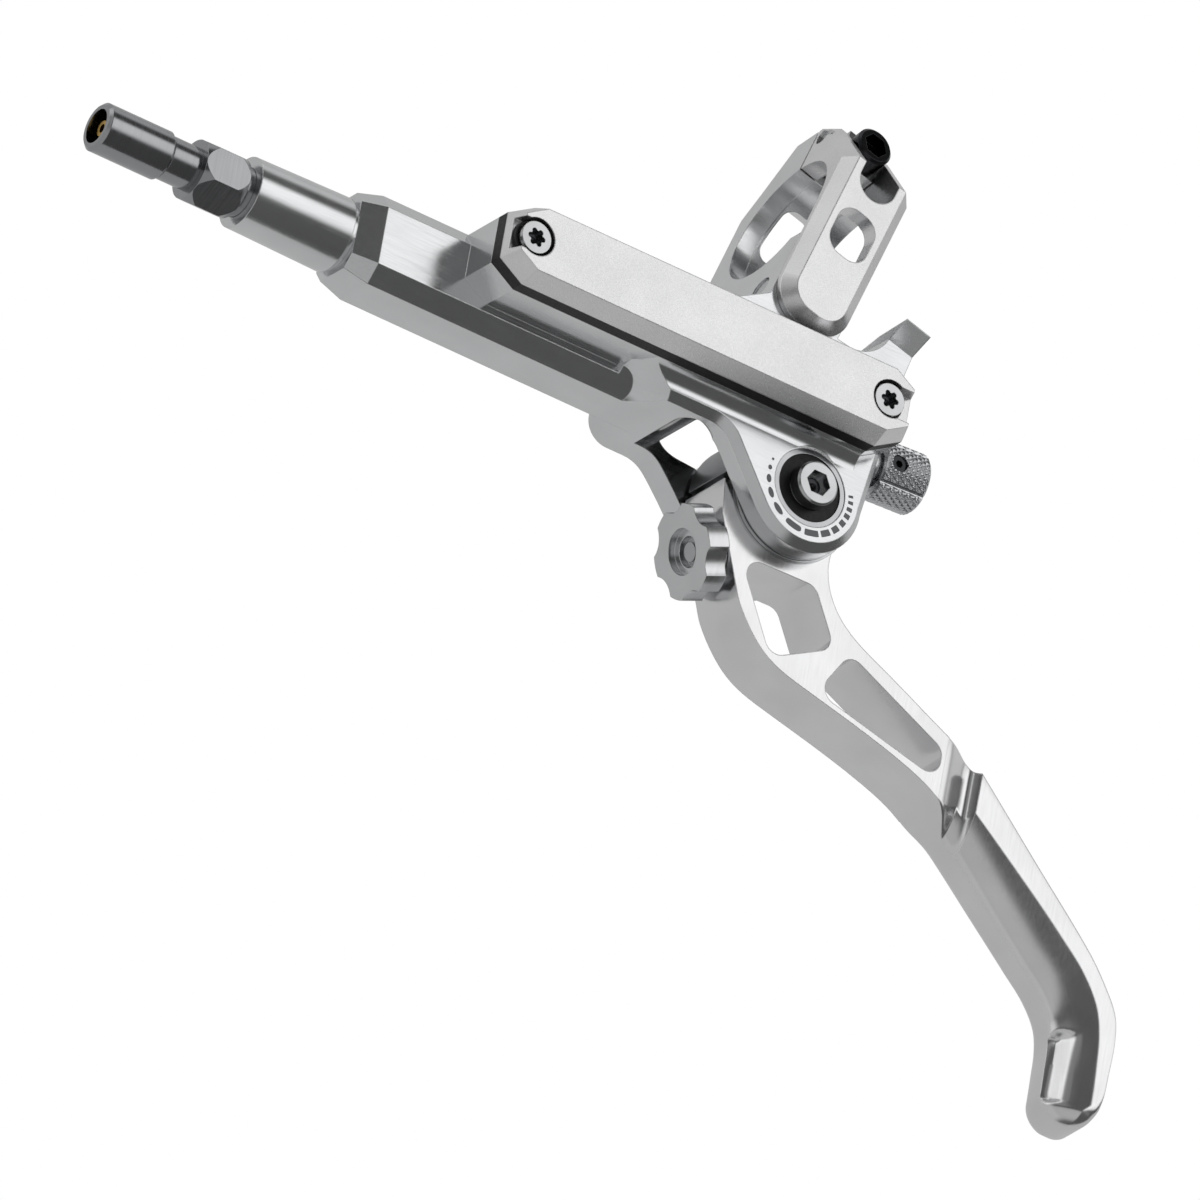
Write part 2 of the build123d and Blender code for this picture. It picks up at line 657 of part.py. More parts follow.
# Gasket with the bladder that hangs into the chamber
with BuildPart() as cover_gasket:
    with BuildSketch(Plane.XY.offset(RES_RIM_Z)):
        reservoir_outline()
    extrude(amount=GASKET_T)
    with BuildSketch(Plane.XY.offset(RES_FLOOR_Z + FLUID_DEPTH)):
        cavity_outline(RUNNING)
    extrude(amount=RES_RIM_Z - RES_FLOOR_Z - FLUID_DEPTH)
    with BuildSketch(Plane.XY.offset(RES_FLOOR_Z + FLUID_DEPTH + BLADDER_T)):
        cavity_outline(BLADDER_T)
    extrude(amount=COVER_Z, mode=Mode.SUBTRACT)
    with Locations(*[(x, RES_Y, COVER_Z) for x in SCREW_XS]):
        Hole(SCREW_R + 3 * RUNNING, depth=GASKET_T)
save(cover_gasket, "cover_gasket")

# Two cover screws with six-lobe sockets
with BuildPart() as cover_screws:
    for x in SCREW_XS:
        disc(Plane(origin=(x, RES_Y, SCREW_SEAT_Z)), SCREW_HEAD_R, SCREW_HEAD_H)
        disc(Plane(origin=(x, RES_Y, SCREW_SEAT_Z)), SCREW_R, RES_RIM_Z - SCREW_GRIP - SCREW_SEAT_Z)
        with BuildSketch(Plane(origin=(x, RES_Y, SCREW_SEAT_Z + SCREW_HEAD_H))):
            Circle(SCREW_HEAD_R / 2 - LOBE_R / 2)
            with PolarLocations(SCREW_HEAD_R / 2 - LOBE_R / 2, 6):
                Circle(LOBE_R)
        extrude(amount=-SCREW_HEAD_H * 0.7, mode=Mode.SUBTRACT)
save(cover_screws, "cover_screws")

# Clamp strap: a flat plate over the bar with a forked far leg and a hinge knuckle
with BuildPart() as clamp_strap:
    with BuildSketch(clamp_plane(-CLAMP_W / 2)):
        Polygon(
            (-CLAMP_NEAR, DECK_Z + RUNNING),
            (-CLAMP_NEAR, CLAMP_TOP),
            (8.5, CLAMP_TOP),
            (CLAMP_FAR + 0.8, 1.7),
            (CLAMP_FAR, CLAMP_SPLIT + CLAMP_GAP),
            (BAR_R - 1.1, CLAMP_SPLIT + CLAMP_GAP),
            (0, BAR_R / 2),
            (0, DECK_Z + RUNNING),
            align=None,
        )
    extrude(amount=CLAMP_W)
    near_corners = clamp_strap.edges().filter_by(Axis.Z)
    fillet([edge for edge in near_corners if edge.center().dot(ACROSS_DIR) < -CLAMP_NEAR + 1], STRAP_END_R)
    top_face = clamp_strap.faces().filter_by(Axis.Z).sort_by(Axis.Z)[-1]
    side_edges = [edge for edge in top_face.edges() if edge.center().dot(ACROSS_DIR) < 8.4]
    slope_edges = [
        edge
        for edge in clamp_strap.edges().filter_by(GeomType.LINE)
        if abs(edge.center().dot(BAR_DIR)) > CLAMP_W / 2 - 0.01
        and edge.center().dot(ACROSS_DIR) > 12
        and edge.center().Z > 3
    ]
    chamfer(side_edges + slope_edges, CLAMP_EDGE)
    disc(clamp_plane(-CLAMP_W / 2), BAR_R, CLAMP_W, mode=Mode.SUBTRACT)
    disc(clamp_plane(-BORE_RELIEF_W / 2), BAR_R + BORE_RELIEF, BORE_RELIEF_W, mode=Mode.SUBTRACT)
    with BuildSketch(clamp_plane(-KNUCKLE_W / 2 + FREE / 2, HINGE_A, HINGE_G)):
        Circle(KNUCKLE_R)
        Rectangle(2 * KNUCKLE_R, CLAMP_TOP - HINGE_G - 2, align=(Align.CENTER, Align.MIN))
    extrude(amount=KNUCKLE_W - FREE)
    disc(clamp_plane(-CLAMP_W, HINGE_A, HINGE_G), HINGE_R + LOCATING, 2 * CLAMP_W, mode=Mode.SUBTRACT)
    top_plane = Plane(origin=(0, 0, CLAMP_TOP + 2), x_dir=ACROSS_DIR, z_dir=(0, 0, 1))
    with BuildSketch(top_plane):
        with Locations((STRAP_SLOT_A, 0)):
            RectangleRounded(STRAP_SLOT_LEN, STRAP_SLOT_W, STRAP_SLOT_R)
    extrude(amount=-STRAP_SLOT_DEPTH, mode=Mode.SUBTRACT)
    with BuildSketch(top_plane):
        with Locations((3.4 + CLAMP_FORK_W / 2, 0)):
            Circle(CLAMP_FORK_W / 2)
            Rectangle(CLAMP_FAR, CLAMP_FORK_W, align=(Align.MIN, Align.CENTER))
    extrude(amount=-(CLAMP_TOP + 2 + 6), mode=Mode.SUBTRACT)
    disc(barrel_washer_plane(), CLAMP_BARREL_R + RUNNING, CLAMP_W, mode=Mode.SUBTRACT)
save(clamp_strap, "clamp_strap")

# Hinge pin of the strap
with BuildPart() as clamp_hinge_pin:
    disc(clamp_plane(-CLAMP_W / 2 + 0.3, HINGE_A, HINGE_G), HINGE_R, CLAMP_W - 0.6)
    chamfer(clamp_hinge_pin.edges().filter_by(GeomType.CIRCLE), 0.3)
save(clamp_hinge_pin, "clamp_hinge_pin")

# Barrel washer across the fork, with a flat for the bolt head
with BuildPart() as clamp_barrel_washer:
    disc(barrel_washer_plane().offset(0.5), CLAMP_BARREL_R, CLAMP_W - 1)
    with BuildSketch(bolt_plane(CLAMP_SEAT)):
        Rectangle(CLAMP_FORK_W - FREE, 2 * CLAMP_HEAD_R)
    extrude(amount=-2 * CLAMP_BARREL_R)
    disc(bolt_plane(0), CLAMP_BOLT_R + RUNNING, 20, mode=Mode.SUBTRACT)
save(clamp_barrel_washer, "clamp_barrel_washer")

# Clamp bolt with a hexagon socket
with BuildPart() as clamp_bolt:
    disc(bolt_plane(CLAMP_SEAT), CLAMP_BOLT_R, -CLAMP_BOLT_LEN)
    disc(bolt_plane(CLAMP_SEAT), CLAMP_HEAD_R, CLAMP_HEAD_H)
    chamfer(clamp_bolt.edges().filter_by(GeomType.CIRCLE).sort_by(Axis.Z)[-1], 0.4)
    with BuildSketch(bolt_plane(CLAMP_SEAT + CLAMP_HEAD_H)):
        RegularPolygon(HEX_SOCKET / 2, 6, major_radius=False)
    extrude(amount=-2.2, mode=Mode.SUBTRACT)
save(clamp_bolt, "clamp_bolt")

# Hose fitting
with BuildPart() as hose_nut:
    with BuildSketch(cylinder_plane(NUT_X)):
        RegularPolygon(NUT_AF / 2, 6, major_radius=False)
    extrude(amount=NUT_LEN)
    for end, inward in ((NUT_X, 1), (NUT_X + NUT_LEN, -1)):
        with BuildSketch(Plane(origin=(end, CYL_Y, 0), x_dir=(1, 0, 0), z_dir=(0, -1, 0))):
            Polygon(
                (0, NUT_AF / 2),
                (0, NUT_AF),
                (inward * NUT_AF / 2, NUT_AF),
                (inward * 0.25 * NUT_AF, NUT_AF / 2 * 1.2),
                align=None,
            )
        revolve(axis=Axis((0, CYL_Y, 0), (1, 0, 0)), mode=Mode.SUBTRACT)
    disc(cylinder_plane(NUT_X + NUT_LEN), PORT_R, NUT_GAP + NUT_THREAD)
    disc(cylinder_plane(NUT_X), HOSE_R + RUNNING, NUT_LEN + NUT_GAP + NUT_THREAD, mode=Mode.SUBTRACT)
save(hose_nut, "hose_nut")

with BuildPart() as hose_ferrule:
    disc(cylinder_plane(FERRULE_X), FERRULE_R, FERRULE_LEN)
    chamfer(hose_ferrule.edges().filter_by(GeomType.CIRCLE), 0.5)
    disc(cylinder_plane(FERRULE_X + FERRULE_LEN), FERRULE_NECK_R, FERRULE_NECK)
    disc(cylinder_plane(NUT_X), HOSE_R, NUT_LEN + NUT_GAP + NUT_THREAD + 0.5)
    disc(cylinder_plane(FERRULE_X), HOSE_R + 0.3, FERRULE_LEN - 1.5, mode=Mode.SUBTRACT)
    disc(cylinder_plane(FERRULE_X), BARB_R + LOCATING, FERRULE_LEN + 60, mode=Mode.SUBTRACT)
save(hose_ferrule, "hose_ferrule")

with BuildPart() as hose_barb:
    disc(cylinder_plane(FERRULE_X + 1.0), BARB_R, NUT_X + NUT_LEN - FERRULE_X)
    disc(cylinder_plane(FERRULE_X + 1.0), BARB_BORE_R, NUT_X + NUT_LEN - FERRULE_X, mode=Mode.SUBTRACT)
save(hose_barb, "hose_barb")

with BuildPart() as hose_olive:
    olive_x = NUT_X + NUT_LEN + NUT_GAP + NUT_THREAD + 0.5
    with BuildSketch(cylinder_plane(olive_x)):
        Circle(PORT_R - 0.3)
    extrude(amount=OLIVE_LEN, taper=20)
    disc(cylinder_plane(olive_x), BARB_BORE_R + 0.3, OLIVE_LEN, mode=Mode.SUBTRACT)
save(hose_olive, "hose_olive")

# Bearings in the two ears
for side, name in ((1, "upper"), (-1, "lower")):
    face = pivot_plane(side * (EAR_OUT - 0.1))
    depth = -side * (BEARING_T - 0.1)
    with BuildPart() as outer_race:
        tube(face, BEARING_R, BEARING_R - RACE_T, depth)
    save(outer_race, f"{name}_outer_race")
    with BuildPart() as inner_race:
        seal_room = side * (SEAL_T + SEAL_GAP)
        tube(face.offset(-seal_room), INNER_RACE_R, SLEEVE_R + LOCATING, depth + seal_room)
    save(inner_race, f"{name}_inner_race")
    with BuildPart() as bearing_seal:
        tube(pivot_plane(side * (EAR_OUT - 0.3)), BEARING_R - RACE_T, SLEEVE_R + RUNNING, -side * SEAL_T)
    save(bearing_seal, f"{name}_bearing_seal")

# Pivot bolt and the flanged sleeve that it closes on
with BuildPart() as pivot_bolt:
    head_z = EAR_OUT + 0.1
    disc(pivot_plane(head_z), PIVOT_HEAD_R, PIVOT_HEAD_H)
    chamfer(pivot_bolt.edges().filter_by(GeomType.CIRCLE).sort_by(Axis.Z)[-1], 0.3)
    disc(pivot_plane(head_z), PIVOT_BOLT_R, -2 * EAR_OUT + 1)
    with BuildSketch(pivot_plane(head_z + PIVOT_HEAD_H)):
        RegularPolygon(HEX_SOCKET / 2, 6, major_radius=False)
    extrude(amount=-1.8, mode=Mode.SUBTRACT)
save(pivot_bolt, "pivot_bolt")

with BuildPart() as pivot_sleeve:
    disc(pivot_plane(-EAR_OUT - 0.1), SLEEVE_R, 2 * EAR_OUT)
    disc(pivot_plane(-EAR_OUT - 0.1), SLEEVE_HEAD_R, -SLEEVE_HEAD_T)
    chamfer(pivot_sleeve.edges().filter_by(GeomType.CIRCLE).sort_by(Axis.Z)[0], 0.3)
    disc(pivot_plane(EAR_OUT), PIVOT_BOLT_R + RUNNING, -2 * EAR_OUT, mode=Mode.SUBTRACT)
save(pivot_sleeve, "pivot_sleeve")

with BuildPart() as thrust_washers:
    for side in (1, -1):
        tube(pivot_plane(side * (BLADE_HALF + RUNNING)), WASHER_R, SLEEVE_R + LOCATING, side * WASHER_T)
save(thrust_washers, "thrust_washers")

# Carrier: a tongue on the pivot with an eye for the dowel and two cheeks for the trunnion
with BuildPart() as carrier:
    with BuildSketch(Plane.XY.offset(-TONGUE_HALF)):
        with Locations(flat(PIVOT)):
            Circle(HUB_R)
        with Locations(flat(DOWEL)):
            Circle(DOWEL_EYE_R)
        with Locations(flat(TRUNNION)):
            Circle(CHEEK_R)
        make_hull()
    extrude(amount=2 * TONGUE_HALF)
    with BuildSketch(Plane.XY.offset(-CARRIER_HALF)):
        with Locations(flat(TRUNNION)):
            Circle(CHEEK_R)
        with Locations(flat(PIVOT)):
            Circle(HUB_R)
        make_hull()
        with Locations(flat(PIVOT)):
            Circle(BLADE_HUB_R + HUB_GAP, mode=Mode.SUBTRACT)
        with Locations((PIVOT_X, PIVOT_Y)):
            Rectangle(60, 60, align=(Align.CENTER, Align.MAX), mode=Mode.SUBTRACT)
    extrude(amount=2 * CARRIER_HALF)
    with BuildSketch(Plane.XY.offset(-CARRIER_HALF)):
        heel_outline(BLADE_HUB_R + HUB_GAP)
    extrude(amount=2 * CARRIER_HALF)
    with BuildSketch(Plane.XY.offset(-TONGUE_HALF)):
        heel_outline(HUB_R - 1)
        heel_outline(HUB_R - 1, FORK_R - 0.15, HEEL_END + 2 * REACH_SWING)
    extrude(amount=2 * TONGUE_HALF)
    with BuildSketch(Plane.XY.offset(-FORK_HALF)):
        for turn in (0, -LEVER_SWING / 2, -LEVER_SWING):
            with Locations(flat(TRUNNION)):
                Rectangle(60, 2 * (PUSHROD_R + FREE), rotation=ROD_ANGLE + turn)
    extrude(amount=2 * FORK_HALF, mode=Mode.SUBTRACT)
    with BuildSketch(Plane.XY.offset(-REACH_SCREW_R - FREE)):
        for turn in (-REACH_SWING, 0, REACH_SWING):
            with Locations(flat(DOWEL)):
                Rectangle(30, 2 * (REACH_SCREW_R + FREE), rotation=REACH_ANGLE + turn)
    extrude(amount=2 * (REACH_SCREW_R + FREE), mode=Mode.SUBTRACT)
    disc(Plane(origin=TRUNNION - Vector(0, 0, 20)), TRUNNION_R + RUNNING, 40, mode=Mode.SUBTRACT)
    disc(Plane(origin=DOWEL - Vector(0, 0, 20)), DOWEL_R + RUNNING, 40, mode=Mode.SUBTRACT)
    disc(pivot_plane(-20), SLEEVE_R + LOCATING, 40, mode=Mode.SUBTRACT)
save(carrier, "carrier")

# Trunnion: the cross barrel that the pushrod screws through
with BuildPart() as trunnion:
    disc(Plane(origin=TRUNNION - Vector(0, 0, CARRIER_HALF)), TRUNNION_R, 2 * CARRIER_HALF)
    disc(rod_plane(TRUNNION_X - 20), PUSHROD_R + RUNNING, 40, mode=Mode.SUBTRACT)
save(trunnion, "trunnion")

with BuildPart() as detent_collar:
    tube(rod_plane(COLLAR_X), COLLAR_R, PUSHROD_R + RUNNING, COLLAR_T)
    tube(rod_plane(COLLAR_X).offset(COLLAR_T), COLLAR_R - 0.6, PUSHROD_R + RUNNING, COLLAR_T)
save(detent_collar, "detent_collar")

# Pushrod with its ball end, and the knob fixed on its tail by a set screw
with BuildPart() as pushrod:
    ball_plane = rod_plane(BALL_X)
    with Locations(ball_plane):
        Sphere(BALL_R)
    disc(ball_plane, NECK_R, (NECK_END_X - BALL_X) / ROD_DIR.X)
    disc(rod_plane(NECK_END_X), PUSHROD_R, (KNOB_X + KNOB_LEN - 1.0 - NECK_END_X) / ROD_DIR.X)
save(pushrod, "pushrod")

with BuildPart() as knob:
    disc(rod_plane(KNOB_X), KNOB_R, KNOB_LEN)
    chamfer(knob.edges().filter_by(GeomType.CIRCLE), 0.4)
    disc(rod_plane(KNOB_X), PUSHROD_R + LOCATING, KNOB_LEN, mode=Mode.SUBTRACT)
    with BuildSketch(rod_plane(KNOB_X)):
        with PolarLocations(KNOB_R + KNOB_GROOVE_OUT, KNOB_GROOVES):
            RegularPolygon(KNOB_GROOVE_R, 4)
    extrude(amount=KNOB_LEN, mode=Mode.SUBTRACT)
    set_screw_plane = Plane(origin=rod_plane(KNOB_X + SET_SCREW_IN).origin, x_dir=ROD_DIR, z_dir=(0, 0, 1))
    disc(set_screw_plane, SET_SCREW_R + LOCATING, KNOB_R + 1, mode=Mode.SUBTRACT)
save(knob, "knob")

with BuildPart() as knob_set_screw:
    disc(set_screw_plane.offset(PUSHROD_R + LOCATING), SET_SCREW_R, KNOB_R - PUSHROD_R - 0.6)
    with BuildSketch(set_screw_plane.offset(KNOB_R - 0.6 + LOCATING)):
        RegularPolygon(0.6, 6)
    extrude(amount=-1.0, mode=Mode.SUBTRACT)
save(knob_set_screw, "knob_set_screw")

# Lever blade
with BuildPart() as lever_blade:
    face_mid = DOWEL + REACH_DIR * REACH_FACE
    face_dir = Vector(-REACH_DIR.Y, REACH_DIR.X, 0)
    face_top = face_mid + face_dir * REACH_FACE_UP
    face_low = face_mid - face_dir * REACH_FACE_DOWN
    peak_turn = math.radians(BLADE_PEAK_ANGLE)
    peak = PIVOT + Vector(math.cos(peak_turn), math.sin(peak_turn), 0) * BLADE_PEAK_R
    with BuildSketch(Plane.XY.offset(-BLADE_HALF)) as arm:
        with BuildLine():
            Line(flat(face_low), flat(face_top))
            Line(flat(face_top), flat(peak))
            Line(flat(peak), flat(PIVOT))
            Line(flat(PIVOT), (PIVOT_X + HUB_R, PIVOT_Y))
            Line((PIVOT_X + HUB_R, PIVOT_Y), BACK_START)
            Spline(BACK_START, *BACK_BENDS, BACK_END)
            Line(BACK_END, FRONT_START)
            Spline(FRONT_START, *FRONT_BENDS, flat(face_low), tangents=(FRONT_SLOPE, flat(face_dir)))
        make_face()
        with Locations(flat(PIVOT)):
            Circle(BLADE_HUB_R)
    extrude(amount=2 * BLADE_HALF)
    with BuildSketch(Plane.XY.offset(-BLADE_HALF)) as grip:
        with BuildLine():
            back = Line(GRIP_BACK, GRIP_BACK_END)
            Spline(GRIP_BACK_END, *GRIP_BEND_BACK, HOOK_BACK, tangents=(back % 1, (0, -1)))
            outside = Line(HOOK_BACK, HOOK_BACK_END)
            TangentArc(HOOK_BACK_END, HOOK_FRONT_END, tangent=outside % 1)
            Line(HOOK_FRONT_END, HOOK_FRONT)
            front = Line(GRIP_FRONT_END, GRIP_FRONT)
            Spline(HOOK_FRONT, *GRIP_BEND_FRONT, GRIP_FRONT_END, tangents=((0, 1), front % 0))
            Line(GRIP_FRONT, GRIP_BACK)
        make_face()
    extrude(amount=2 * BLADE_HALF)
    grip_slope = (GRIP_BACK_END[1] - GRIP_BACK[1]) / (GRIP_BACK_END[0] - GRIP_BACK[0])
    rounded = []
    for edge in lever_blade.edges():
        middle = edge.center()
        on_face = abs(abs(middle.Z) - BLADE_HALF) < RUNNING
        beyond_scoop = FRONT_START[0] < middle.X < GRIP_BACK_END[0]
        front_side = middle.Y - GRIP_FRONT[1] < (middle.X - GRIP_FRONT[0]) * grip_slope + GRIP_ROUND
        if on_face and beyond_scoop and front_side:
            rounded.append(edge)
    fillet(rounded, GRIP_ROUND)

    # Thumb flat on the rounded front of the hook
    pad_in = GRIP_ROUND * (1 - math.sqrt(0.5))
    pad_point = (HOOK_FRONT_END[0] + pad_in, PAD_Y, BLADE_HALF - pad_in)
    with BuildSketch(Plane(origin=pad_point, x_dir=(0, 1, 0), z_dir=(-1, 0, 1)).offset(-PAD_DEPTH)):
        RectangleRounded(PAD_LEN, PAD_W, PAD_W / 2 - 0.4)
    extrude(amount=2 * PAD_DEPTH, mode=Mode.SUBTRACT)

    # Fork for the carrier, pivot hole and reach screw journal
    disc(pivot_plane(-FORK_HALF), FORK_R, 2 * FORK_HALF, mode=Mode.SUBTRACT)
    disc(pivot_plane(-20), SLEEVE_R + 2 * RUNNING, 40, mode=Mode.SUBTRACT)
    disc(reach_plane(REACH_FACE - 1), REACH_SCREW_R + RUNNING, 15, mode=Mode.SUBTRACT)

    # Two windows
    with BuildSketch(Plane.XY.offset(-BLADE_HALF)) as windows:
        Polygon(*WINDOW_ONE, align=None)
        Polygon(*WINDOW_TWO, align=None)
        fillet(windows.vertices(), WINDOW_CORNER)
    extrude(amount=2 * BLADE_HALF, mode=Mode.SUBTRACT)

    # Transverse scoops before the grip
    for z in (BLADE_HALF + SCOOP_R - SCOOP_DEPTH, -BLADE_HALF - SCOOP_R + SCOOP_DEPTH):
        scoop = Plane(origin=(SCOOP_X, GRIP_BACK[1] + SCOOP_R, z), x_dir=(1, 0, 0), z_dir=(0, -1, 0))
        disc(scoop, SCOOP_R, GRIP_BACK[1] - GRIP_FRONT[1] + 3 * SCOOP_R, mode=Mode.SUBTRACT)
save(lever_blade, "lever_blade")

# Reach wheel with scalloped rim, its screw and the threaded dowel
with BuildPart() as reach_wheel:
    wheel_in = REACH_FACE - 0.1
    wheel_out = wheel_in - WHEEL_COLLAR_T - WHEEL_T
    disc(reach_plane(wheel_in), WHEEL_COLLAR_R, -WHEEL_COLLAR_T)
    with BuildSketch(reach_plane(wheel_out)):
        Circle(WHEEL_R)
        with PolarLocations(WHEEL_R + WHEEL_SCALLOP_R - WHEEL_SCALLOP_DEPTH, WHEEL_LOBES):
            Circle(WHEEL_SCALLOP_R, mode=Mode.SUBTRACT)
    extrude(amount=WHEEL_T)
    disc(reach_plane(wheel_out), WHEEL_DISH_R, WHEEL_DISH, mode=Mode.SUBTRACT)
    disc(reach_plane(wheel_out), WHEEL_BORE_R, 2 * WHEEL_DISH, mode=Mode.SUBTRACT)
    disc(reach_plane(wheel_out), REACH_SCREW_R + LOCATING, 10, mode=Mode.SUBTRACT)
save(reach_wheel, "reach_wheel")

with BuildPart() as reach_screw:
    disc(reach_plane(wheel_out + 1.4), REACH_SCREW_R, REACH_SCREW_END - wheel_out - 1.4)
save(reach_screw, "reach_screw")

with BuildPart() as cross_dowel:
    disc(Plane(origin=DOWEL - Vector(0, 0, TONGUE_HALF)), DOWEL_R, 2 * TONGUE_HALF)
    disc(reach_plane(-10), REACH_SCREW_R + 3 * RUNNING, 20, mode=Mode.SUBTRACT)
save(cross_dowel, "cross_dowel")

# Piston with a cup for the ball, two lip seals, spring and its seat
PISTON_R = CYL_R - RUNNING
PRIMARY_X = PISTON_FRONT_X + 2.0
SECONDARY_X = CUP_FLOOR_X + 3.0
with BuildPart() as piston:
    disc(cylinder_plane(PISTON_FRONT_X), PISTON_R, PISTON_LEN)
    disc(cylinder_plane(CUP_FLOOR_X), BALL_R + BALL_PLAY, PISTON_LEN, mode=Mode.SUBTRACT)
    with BuildSketch(cylinder_plane(PRIMARY_X)):
        Circle(PISTON_R + 1)
        Circle(PISTON_R - SEAL_DEPTH, mode=Mode.SUBTRACT)
    extrude(amount=SEAL_W, mode=Mode.SUBTRACT)
    with BuildSketch(cylinder_plane(CUP_FLOOR_X - SECONDARY_IN)):
        Circle(PISTON_R + 1)
        Circle(PISTON_R - SEAL_DEPTH, mode=Mode.SUBTRACT)
    extrude(amount=SEAL_W, mode=Mode.SUBTRACT)
save(piston, "piston")

for x, name in ((PRIMARY_X, "primary_seal"), (CUP_FLOOR_X - SECONDARY_IN, "secondary_seal")):
    with BuildPart() as lip_seal:
        tube(cylinder_plane(x + 0.1), CYL_R - LOCATING, PISTON_R - SEAL_DEPTH, SEAL_W - 0.2)
    save(lip_seal, name)

with BuildPart() as spring_seat:
    disc(cylinder_plane(BORE_END_X), CYL_R - RUNNING, SPRING_SEAT_T)
    disc(cylinder_plane(BORE_END_X), HOSE_R - 1, SPRING_SEAT_T, mode=Mode.SUBTRACT)
save(spring_seat, "spring_seat")

with BuildPart() as return_spring:
    spring_start = BORE_END_X + SPRING_SEAT_T + SPRING_WIRE + RUNNING
    spring_end = PISTON_FRONT_X - SPRING_WIRE - RUNNING
    steps = SPRING_TURNS * SPRING_STEPS
    coil_points = []
    for step in range(steps + 1):
        turn = 2 * math.pi * step / SPRING_STEPS
        coil_points.append(
            (
                spring_start + (spring_end - spring_start) * step / steps,
                CYL_Y + SPRING_R * math.cos(turn),
                SPRING_R * math.sin(turn),
            )
        )
    with BuildLine() as coil:
        Polyline(*coil_points)
    with BuildSketch(Plane(origin=coil.line @ 0, z_dir=coil.line % 0)):
        RegularPolygon(SPRING_WIRE, 6)
    sweep(transition=Transition.RIGHT)
save(return_spring, "return_spring")

with BuildPart() as retaining_circlip:
    with BuildSketch(cylinder_plane(MOUTH_X - GROOVE_IN - CIRCLIP_T + RUNNING)):
        Circle(CYL_R + CIRCLIP_GROOVE - RUNNING)
        Circle(CYL_R - 0.9, mode=Mode.SUBTRACT)
        with Locations((CYL_R, 0)):
            Rectangle(4, 2.4, mode=Mode.SUBTRACT)
    extrude(amount=CIRCLIP_T - 2 * RUNNING)
save(retaining_circlip, "retaining_circlip")

with BuildPart() as stop_washer:
    tube(cylinder_plane(MOUTH_X - GROOVE_IN - CIRCLIP_T), CYL_R - LOCATING, STOP_HOLE_R, -STOP_WASHER_T)
save(stop_washer, "stop_washer")
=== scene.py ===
"""Finishes, fine detail, light and camera for a bicycle brake lever with its master cylinder."""

import logging
import math
from dataclasses import dataclass, field
from enum import Enum
from typing import Any

import bmesh
import bpy
from mathutils import Matrix, Vector


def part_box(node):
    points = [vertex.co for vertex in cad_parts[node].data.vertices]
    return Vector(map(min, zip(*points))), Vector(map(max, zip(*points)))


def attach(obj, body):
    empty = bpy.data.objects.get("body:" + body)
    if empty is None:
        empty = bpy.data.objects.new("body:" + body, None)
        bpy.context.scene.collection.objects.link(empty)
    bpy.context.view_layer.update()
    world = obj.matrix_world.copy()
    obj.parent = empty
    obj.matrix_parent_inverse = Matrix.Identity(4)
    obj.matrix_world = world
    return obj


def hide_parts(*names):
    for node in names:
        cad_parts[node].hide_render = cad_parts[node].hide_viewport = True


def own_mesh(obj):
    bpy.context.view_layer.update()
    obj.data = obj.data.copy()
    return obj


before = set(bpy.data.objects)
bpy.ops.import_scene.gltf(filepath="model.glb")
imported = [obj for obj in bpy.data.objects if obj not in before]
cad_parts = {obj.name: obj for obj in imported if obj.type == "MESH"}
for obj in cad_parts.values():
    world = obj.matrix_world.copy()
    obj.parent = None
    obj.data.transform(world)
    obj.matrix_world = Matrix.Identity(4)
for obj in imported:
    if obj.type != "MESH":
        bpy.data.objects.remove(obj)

LOG = logging.getLogger("brake_lever")
MM = 0.001
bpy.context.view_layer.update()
PIVOT = (1.5, -45.0)


def linear(hex_colour: str) -> tuple[float, float, float, float]:
    """Turn an sRGB hex colour into Blender's linear values.

    Args:
        hex_colour: Six hex digits after a hash sign.

    Returns:
        Linear red, green and blue, and an alpha of one.
    """
    values = [int(hex_colour[i:i + 2], 16) / 255 for i in (1, 3, 5)]
    bent = [v / 12.92 if v <= 0.04045 else ((v + 0.055) / 1.055) ** 2.4 for v in values]
    return (bent[0], bent[1], bent[2], 1.0)


def clamp(value: float) -> float:
    """Hold a value between zero and one."""
    return max(0.0, min(1.0, value))


def ease(share: float) -> float:
    """Bend a share of one so that it starts and ends gently."""
    return share ** 2 * (3 - 2 * share)


def add_node(tree: bpy.types.NodeTree, kind: str, settings: dict[str, Any] | None = None,
             links: dict[Any, Any] | None = None) -> bpy.types.Node:
    """Add a shader node with its settings and incoming links.

    Args:
        tree: The node tree that takes the node.
        kind: The node's type name without the ShaderNode prefix.
        settings: Property names, or input names, with their values.
        links: Input names or numbers with the output sockets that feed them.

    Returns:
        The new node.
    """
    node = tree.nodes.new("ShaderNode" + kind)
    for name, value in (settings or {}).items():
        if isinstance(name, str) and hasattr(node, name):
            setattr(node, name, value)
        else:
            node.inputs[name].default_value = value
    for name, source in (links or {}).items():
        tree.links.new(source, node.inputs[name])
    return node


class Grain(Enum):
    """How a surface was worked: the stretch of its tool marks along X, Y and Z."""

    MILLED_ALONG = (0.04, 1.0, 1.0)
    MILLED_ACROSS = (1.0, 0.05, 1.0)
    TURNED_ON_X = (1.0, 0.02, 0.02)
    TURNED_ON_Z = (0.05, 0.05, 1.0)
    BLASTED = (1.0, 1.0, 1.0)
    MOULDED = (0.8, 0.8, 0.8)


